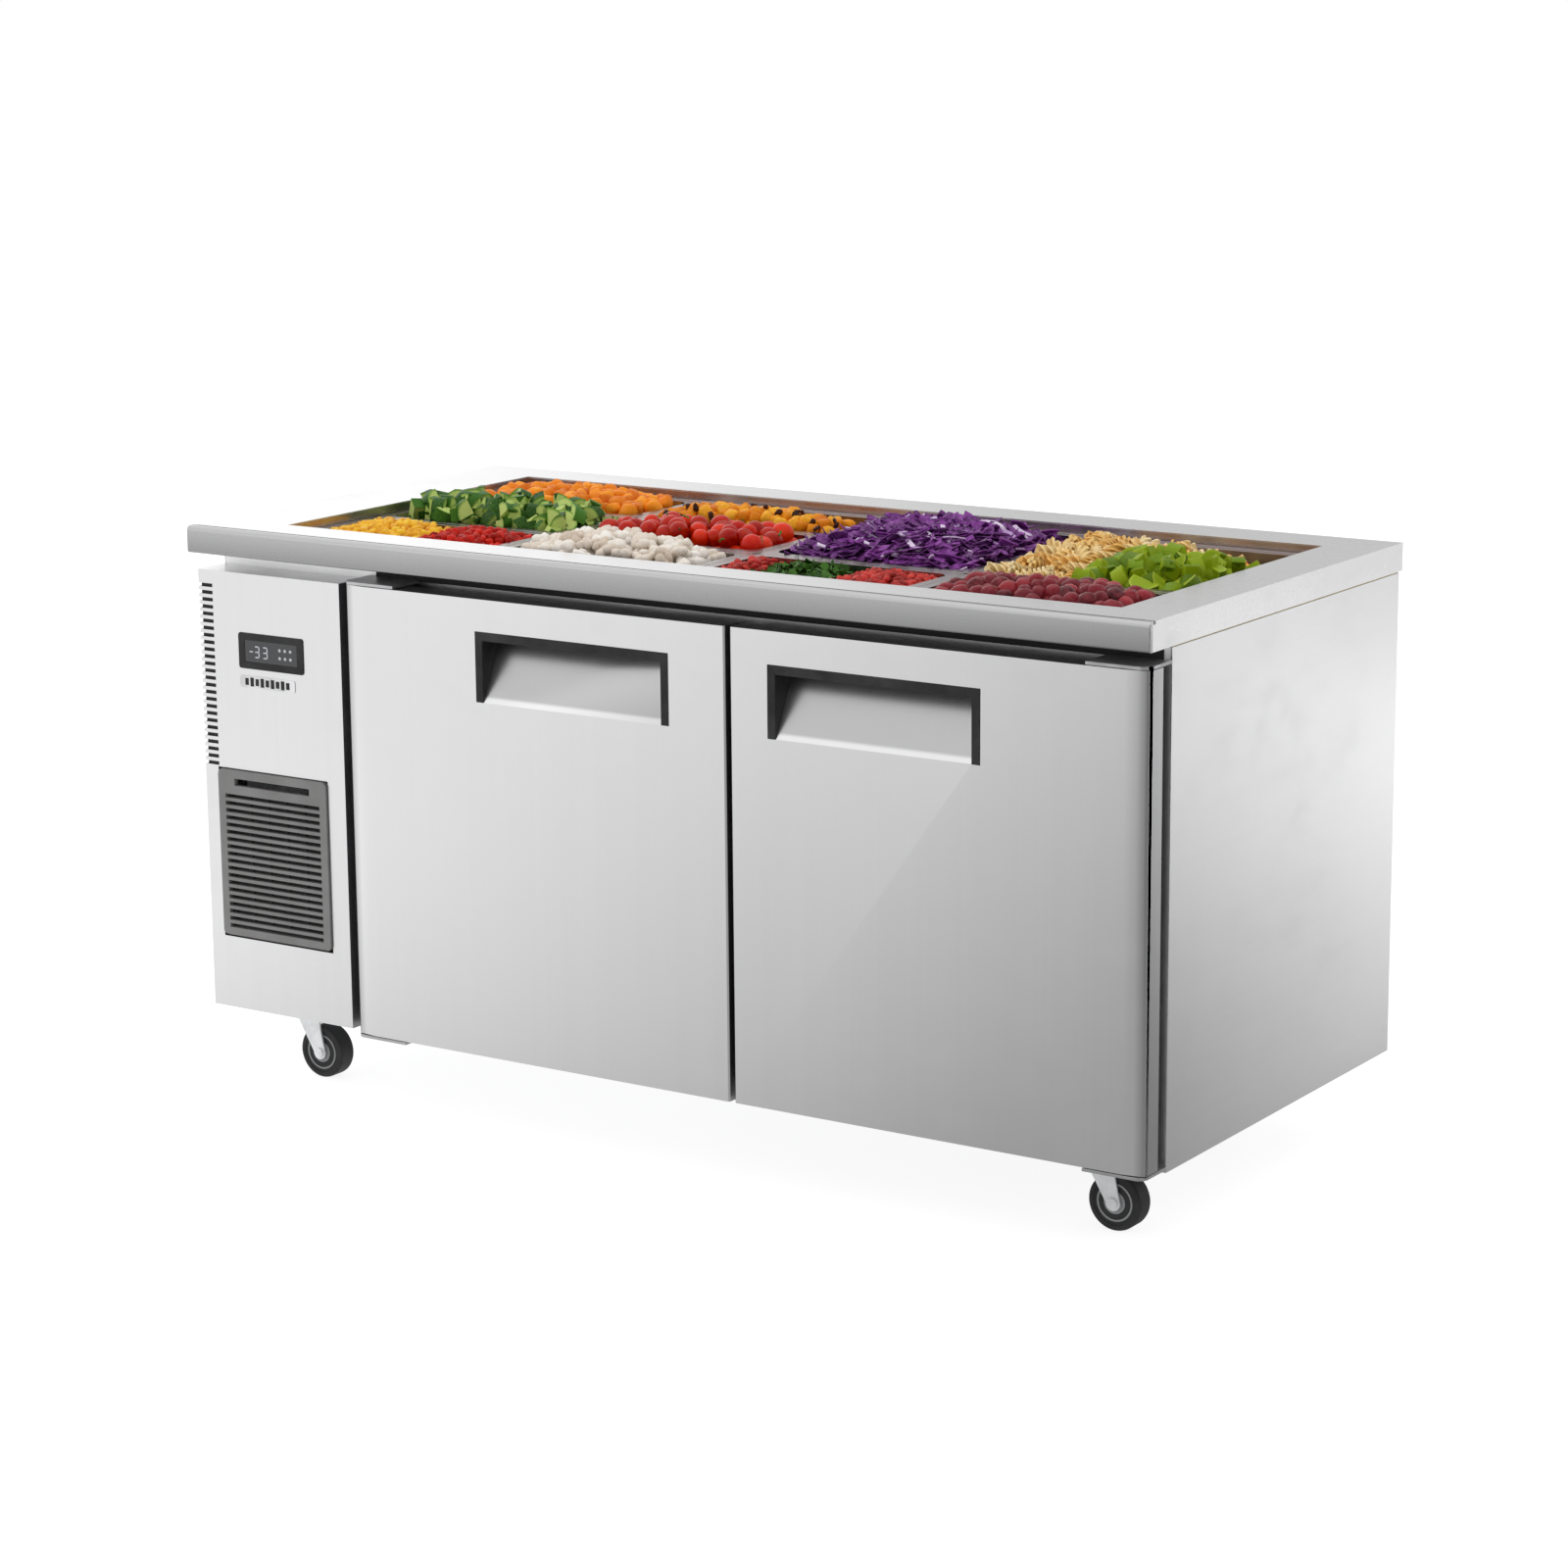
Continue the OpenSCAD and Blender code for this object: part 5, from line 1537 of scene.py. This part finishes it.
class PREPTABLE_OT_tomatoes(bpy.types.Operator):
    """Fills a middle pan with cherry tomatoes"""
    bl_idname = "preptable.tomatoes"
    bl_label = "Cherry tomatoes"

    def execute(self, context):
        skin = food("Tomato skin", (0.30, 0.001, 0.001), (0.54, 0.003, 0.001), (0.70, 0.022, 0.002),
                    (0.78, 0.09, 0.006), 0.22, 90.0, 0.05, Roughness=0.22,
                    Specular_IOR_Level=0.16)
        leaf = food("Tomato stalk", (0.02, 0.10, 0.01), (0.04, 0.20, 0.02), (0.10, 0.34, 0.04),
                    (0.2, 0.4, 0.1), 0.3, 300.0)
        heap = Heap("pan_2_middle", (0, 1), (0, 1), -0.007, 0.008, (0.5, 0.5))
        kinds = rounded("tomato", 0.0158, skin, 2, 3, (1, 1, 0.92), 0.012)
        parts = scatter(heap, kinds, 0.0280, 0.0155, 51, 2, grow=(0.8, 1.06))
        parts.append(heap.bed("tomato_bed", skin, 0.018))
        stalks = strips("stalk", (0.013, 0.0022, 0.0012), leaf, 2, 5, (40, 80))
        parts += scatter(heap, stalks, 0.042, 0.006, 52, 1, lift=0.013, density=0.35)
        serve("food_tomatoes", heap.node, parts, kinds + stalks)
        return {"FINISHED"}


class PREPTABLE_OT_squash(bpy.types.Operator):
    """Fills the front of a rear pan with squash cubes and raisins"""
    bl_idname = "preptable.squash"
    bl_label = "Squash and raisins"

    def execute(self, context):
        flesh = food("Roast squash", (0.60, 0.15, 0.003), (0.82, 0.30, 0.006), (0.90, 0.46, 0.03),
                     (0.40, 0.08, 0.005), 0.3, 220.0)
        raisin = food("Raisin", (0.010, 0.004, 0.003), (0.03, 0.010, 0.008), (0.07, 0.02, 0.012),
                      (0.10, 0.04, 0.02), 0.4, 600.0, 0.7)
        heap = Heap("pan_2_rear", (0, 1), (0, 0.62), -0.008, 0.010, (0.5, 0.5))
        kinds = diced("squash", 0.0172, flesh, 4, 0.2, 1)
        parts = scatter(heap, kinds, 0.0172, 0.0090, 61, 2)
        parts.append(heap.bed("squash_bed", flesh, 0.012))
        dried = rounded("raisin", 0.0055, raisin, 2, 1, (1.3, 0.9, 0.7), 0.25)
        parts += scatter(heap, dried, 0.027, 0.005, 62, 1, lift=0.009, density=0.55)
        serve("food_squash", heap.node, parts, kinds + dried)
        return {"FINISHED"}


class PREPTABLE_OT_herbs(bpy.types.Operator):
    """Fills a front pan with chopped herbs between red pepper"""
    bl_idname = "preptable.herbs"
    bl_label = "Herbs"

    def execute(self, context):
        leaf = food("Chopped herbs", (0.008, 0.035, 0.004), (0.02, 0.085, 0.008), (0.06, 0.18, 0.02),
                    (0.16, 0.30, 0.06), 0.3, 400.0, 0.4)
        red = food("Red flakes", (0.20, 0.004, 0.004), (0.42, 0.01, 0.01), (0.60, 0.04, 0.03),
                   (0.7, 0.15, 0.1), 0.25, 300.0)
        fills = (("food_red_flakes_left", (0, 0.16), red, 71), ("food_herbs", (0.16, 0.56), leaf, 72),
                 ("food_red_flakes_right", (0.56, 1), red, 73))
        for name, across, finish, seed in fills:
            heap = Heap("pan_3_front", across, (0, 1), -0.014, -0.001, (0.5, 0.7))
            kinds = (strips(name, (0.021, 0.011, 0.0008), finish, 3, 4, (40, 110)) if finish is leaf
                     else diced(name, 0.0125, finish, 3, 0.2, 1, (1, 1, 0.6)))
            fill(name, heap, kinds, finish, 0.008, 0.0118, 0.0065, seed, 2, tilt=0.9)
        return {"FINISHED"}


class PREPTABLE_OT_cabbage(bpy.types.Operator):
    """Heaps a long rear pan with shredded red cabbage"""
    bl_idname = "preptable.cabbage"
    bl_label = "Red cabbage"

    def execute(self, context):
        shred = food("Red cabbage", (0.030, 0.002, 0.042), (0.105, 0.008, 0.140), (0.27, 0.050, 0.34),
                     (0.50, 0.22, 0.58), 0.3, 200.0, 0.2, Roughness=0.45)
        rib = food("Cabbage rib", (0.50, 0.34, 0.60), (0.72, 0.60, 0.78), (0.86, 0.80, 0.88),
                   (0.40, 0.15, 0.50), 0.35, 260.0, 0.2, Roughness=0.4)
        heap = Heap("pan_3_rear", (0, 1), (0, 0.94), -0.010, 0.024, (0.48, 0.58))
        kinds = strips("shred", (0.050, 0.0064, 0.0014), shred, 5, 9, (50, 170), 60)
        wide = strips("leaf", (0.042, 0.021, 0.0012), shred, 3, 7, (50, 130), 35)
        ribs = strips("rib", (0.040, 0.0058, 0.0018), rib, 3, 7, (30, 120), 40)
        parts = scatter(heap, kinds, 0.0145, 0.010, 81, 3, tilt=0.5, tints=(0.1, 0.9))
        parts += scatter(heap, wide, 0.025, 0.012, 82, 1, tilt=0.6, tints=(0.2, 0.9))
        parts += scatter(heap, ribs, 0.030, 0.010, 83, 1, tilt=0.5, lift=0.002, density=0.55)
        parts.append(heap.bed("cabbage_bed", shred, 0.012))
        serve("food_cabbage", heap.node, parts, kinds + wide + ribs)
        return {"FINISHED"}


class PREPTABLE_OT_grapes(bpy.types.Operator):
    """Fills the front right pan with red grapes"""
    bl_idname = "preptable.grapes"
    bl_label = "Red grapes"

    def execute(self, context):
        skin = food("Grape skin", (0.045, 0.001, 0.004), (0.15, 0.003, 0.009), (0.30, 0.016, 0.024),
                    (0.48, 0.10, 0.12), 0.3, 110.0, 0.06, Roughness=0.28, Specular_IOR_Level=0.14)
        heap = Heap("pan_4_front", (0, 1), (0, 1), -0.011, 0.007, (0.5, 0.6))
        kinds = rounded("grape", 0.0124, skin, 2, 2, (1.0, 1.0, 1.22), 0.015)
        fill("food_grapes", heap, kinds, skin, 0.015, 0.0222, 0.0128, 91, 2, bed="grape_bed")
        return {"FINISHED"}


class PREPTABLE_OT_pasta(bpy.types.Operator):
    """Fills the long right pan with spiral pasta, lime and carrot"""
    bl_idname = "preptable.pasta"
    bl_label = "Pasta, lime and carrot"

    def execute(self, context):
        dough = food("Pasta", (0.80, 0.44, 0.12), (0.92, 0.66, 0.28), (0.94, 0.80, 0.48),
                     (0.88, 0.42, 0.06), 0.15, 90.0, 0.05, Roughness=0.45)
        heap = Heap("pan_4_rear", (0, 0.42), (0.02, 0.86), -0.010, 0.015, (0.55, 0.72))
        spirals = self.spirals(dough)
        parts = scatter(heap, spirals, 0.0235, 0.0120, 101, 2, tilt=0.45)
        behind = Heap("pan_4_rear", (0.40, 0.74), (0.56, 0.76), -0.010, 0.010, (0.5, 0.5))
        parts += scatter(behind, spirals, 0.0235, 0.0120, 104, 2, tilt=0.6)
        parts.append(heap.bed("pasta_bed", dough, 0.014))
        serve("food_pasta", heap.node, parts, spirals)

        flesh = cut_flesh("Lime flesh", (0.34, 0.40, 0.012), (0.24, 0.34, 0.006), (0.38, 0.46, 0.04), 700.0)
        peel = food("Lime peel", (0.045, 0.11, 0.002), (0.12, 0.23, 0.003), (0.25, 0.35, 0.008),
                    (0.38, 0.46, 0.03), 0.3, 500.0, 0.35)
        heap = Heap("pan_4_rear", (0.42, 1), (0, 0.60), -0.008, 0.012, (0.5, 0.55))
        wedges = slices("lime", 0.0195, 0.017, flesh, peel, (90, 180, 90), 18)
        fill("food_lime", heap, wedges, peel, 0.016, 0.0190, 0.0105, 102, 2, bed="lime_bed")

        carrot = food("Carrot", (0.62, 0.13, 0.004), (0.85, 0.25, 0.01), (0.94, 0.40, 0.05),
                      (0.95, 0.50, 0.1), 0.3, 260.0)
        heap = Heap("pan_4_rear", (0.62, 1), (0.58, 0.74), -0.014, 0.000, (0.5, 0.4))
        sticks = strips("carrot", (0.024, 0.0042, 0.0040), carrot, 2, 5, (8, 25), 10)
        fill("food_carrot", heap, sticks, carrot, 0.009, 0.0095, 0.006, 103, 2, tilt=0.3, bed="carrot_bed")
        return {"FINISHED"}

    def spirals(self, dough):
        """Two crossed blades twisted round each other."""
        made = []
        for kind, span in enumerate((0.038, 0.046)):
            blades = []
            for turn in (0, 90):
                deselect()
                bpy.ops.mesh.primitive_cube_add(size=1)
                blade = bpy.context.object
                blade.scale = (span, 0.0165, 0.0046)
                settle(blade)
                cut_across(blade, X, -span / 2, span, 14)
                blade.rotation_euler = (math.radians(turn), 0, 0)
                settle(blade)
                modify(blade, "SIMPLE_DEFORM", deform_method="TWIST", deform_axis="X",
                       angle=math.radians(330 + 60 * kind))
                blades.append(blade)
            made.append(finish_template(join("spiral", blades), dough))
        return made


FOODS = (PREPTABLE_OT_peppers, PREPTABLE_OT_cucumber, PREPTABLE_OT_melon, PREPTABLE_OT_cauliflower,
         PREPTABLE_OT_tomatoes, PREPTABLE_OT_squash, PREPTABLE_OT_herbs, PREPTABLE_OT_cabbage,
         PREPTABLE_OT_grapes, PREPTABLE_OT_pasta)


# ---- sidebar panel ----

PIECES = (PREPTABLE_OT_sheet_metal, PREPTABLE_OT_pan_well, PREPTABLE_OT_doors, PREPTABLE_OT_machine_front,
          PREPTABLE_OT_casters, PREPTABLE_OT_refrigeration) + FOODS + (PREPTABLE_OT_stage,)


class PREPTABLE_PT_panel(bpy.types.Panel):
    """Lists the builders of the prep table"""
    bl_idname = "PREPTABLE_PT_panel"
    bl_label = "Prep Table"
    bl_space_type = "VIEW_3D"
    bl_region_type = "UI"
    bl_category = "Prep Table"

    def draw(self, context):
        for settings in ("prep_table_finish", "prep_table_food", "prep_table_stage"):
            group_of = getattr(context.scene, settings)
            for key in group_of.bl_rna.properties.keys():
                if key not in ("rna_type", "name"):
                    self.layout.prop(group_of, key)
        for piece in PIECES:
            self.layout.operator(piece.bl_idname)


CLASSES = (PrepTableFinish, PrepTableFood, PrepTableStage) + PIECES + (PREPTABLE_PT_panel,)


def register():
    for made in CLASSES:
        bpy.utils.register_class(made)
    bpy.types.Scene.prep_table_finish = PointerProperty(type=PrepTableFinish)
    bpy.types.Scene.prep_table_food = PointerProperty(type=PrepTableFood)
    bpy.types.Scene.prep_table_stage = PointerProperty(type=PrepTableStage)


def unregister():
    for name in ("prep_table_stage", "prep_table_food", "prep_table_finish"):
        delattr(bpy.types.Scene, name)
    for made in reversed(CLASSES):
        bpy.utils.unregister_class(made)


def main():
    register()
    for piece in PIECES:
        section, name = piece.bl_idname.split(".")
        getattr(getattr(bpy.ops, section), name)()


if __name__ == "__main__":
    main()
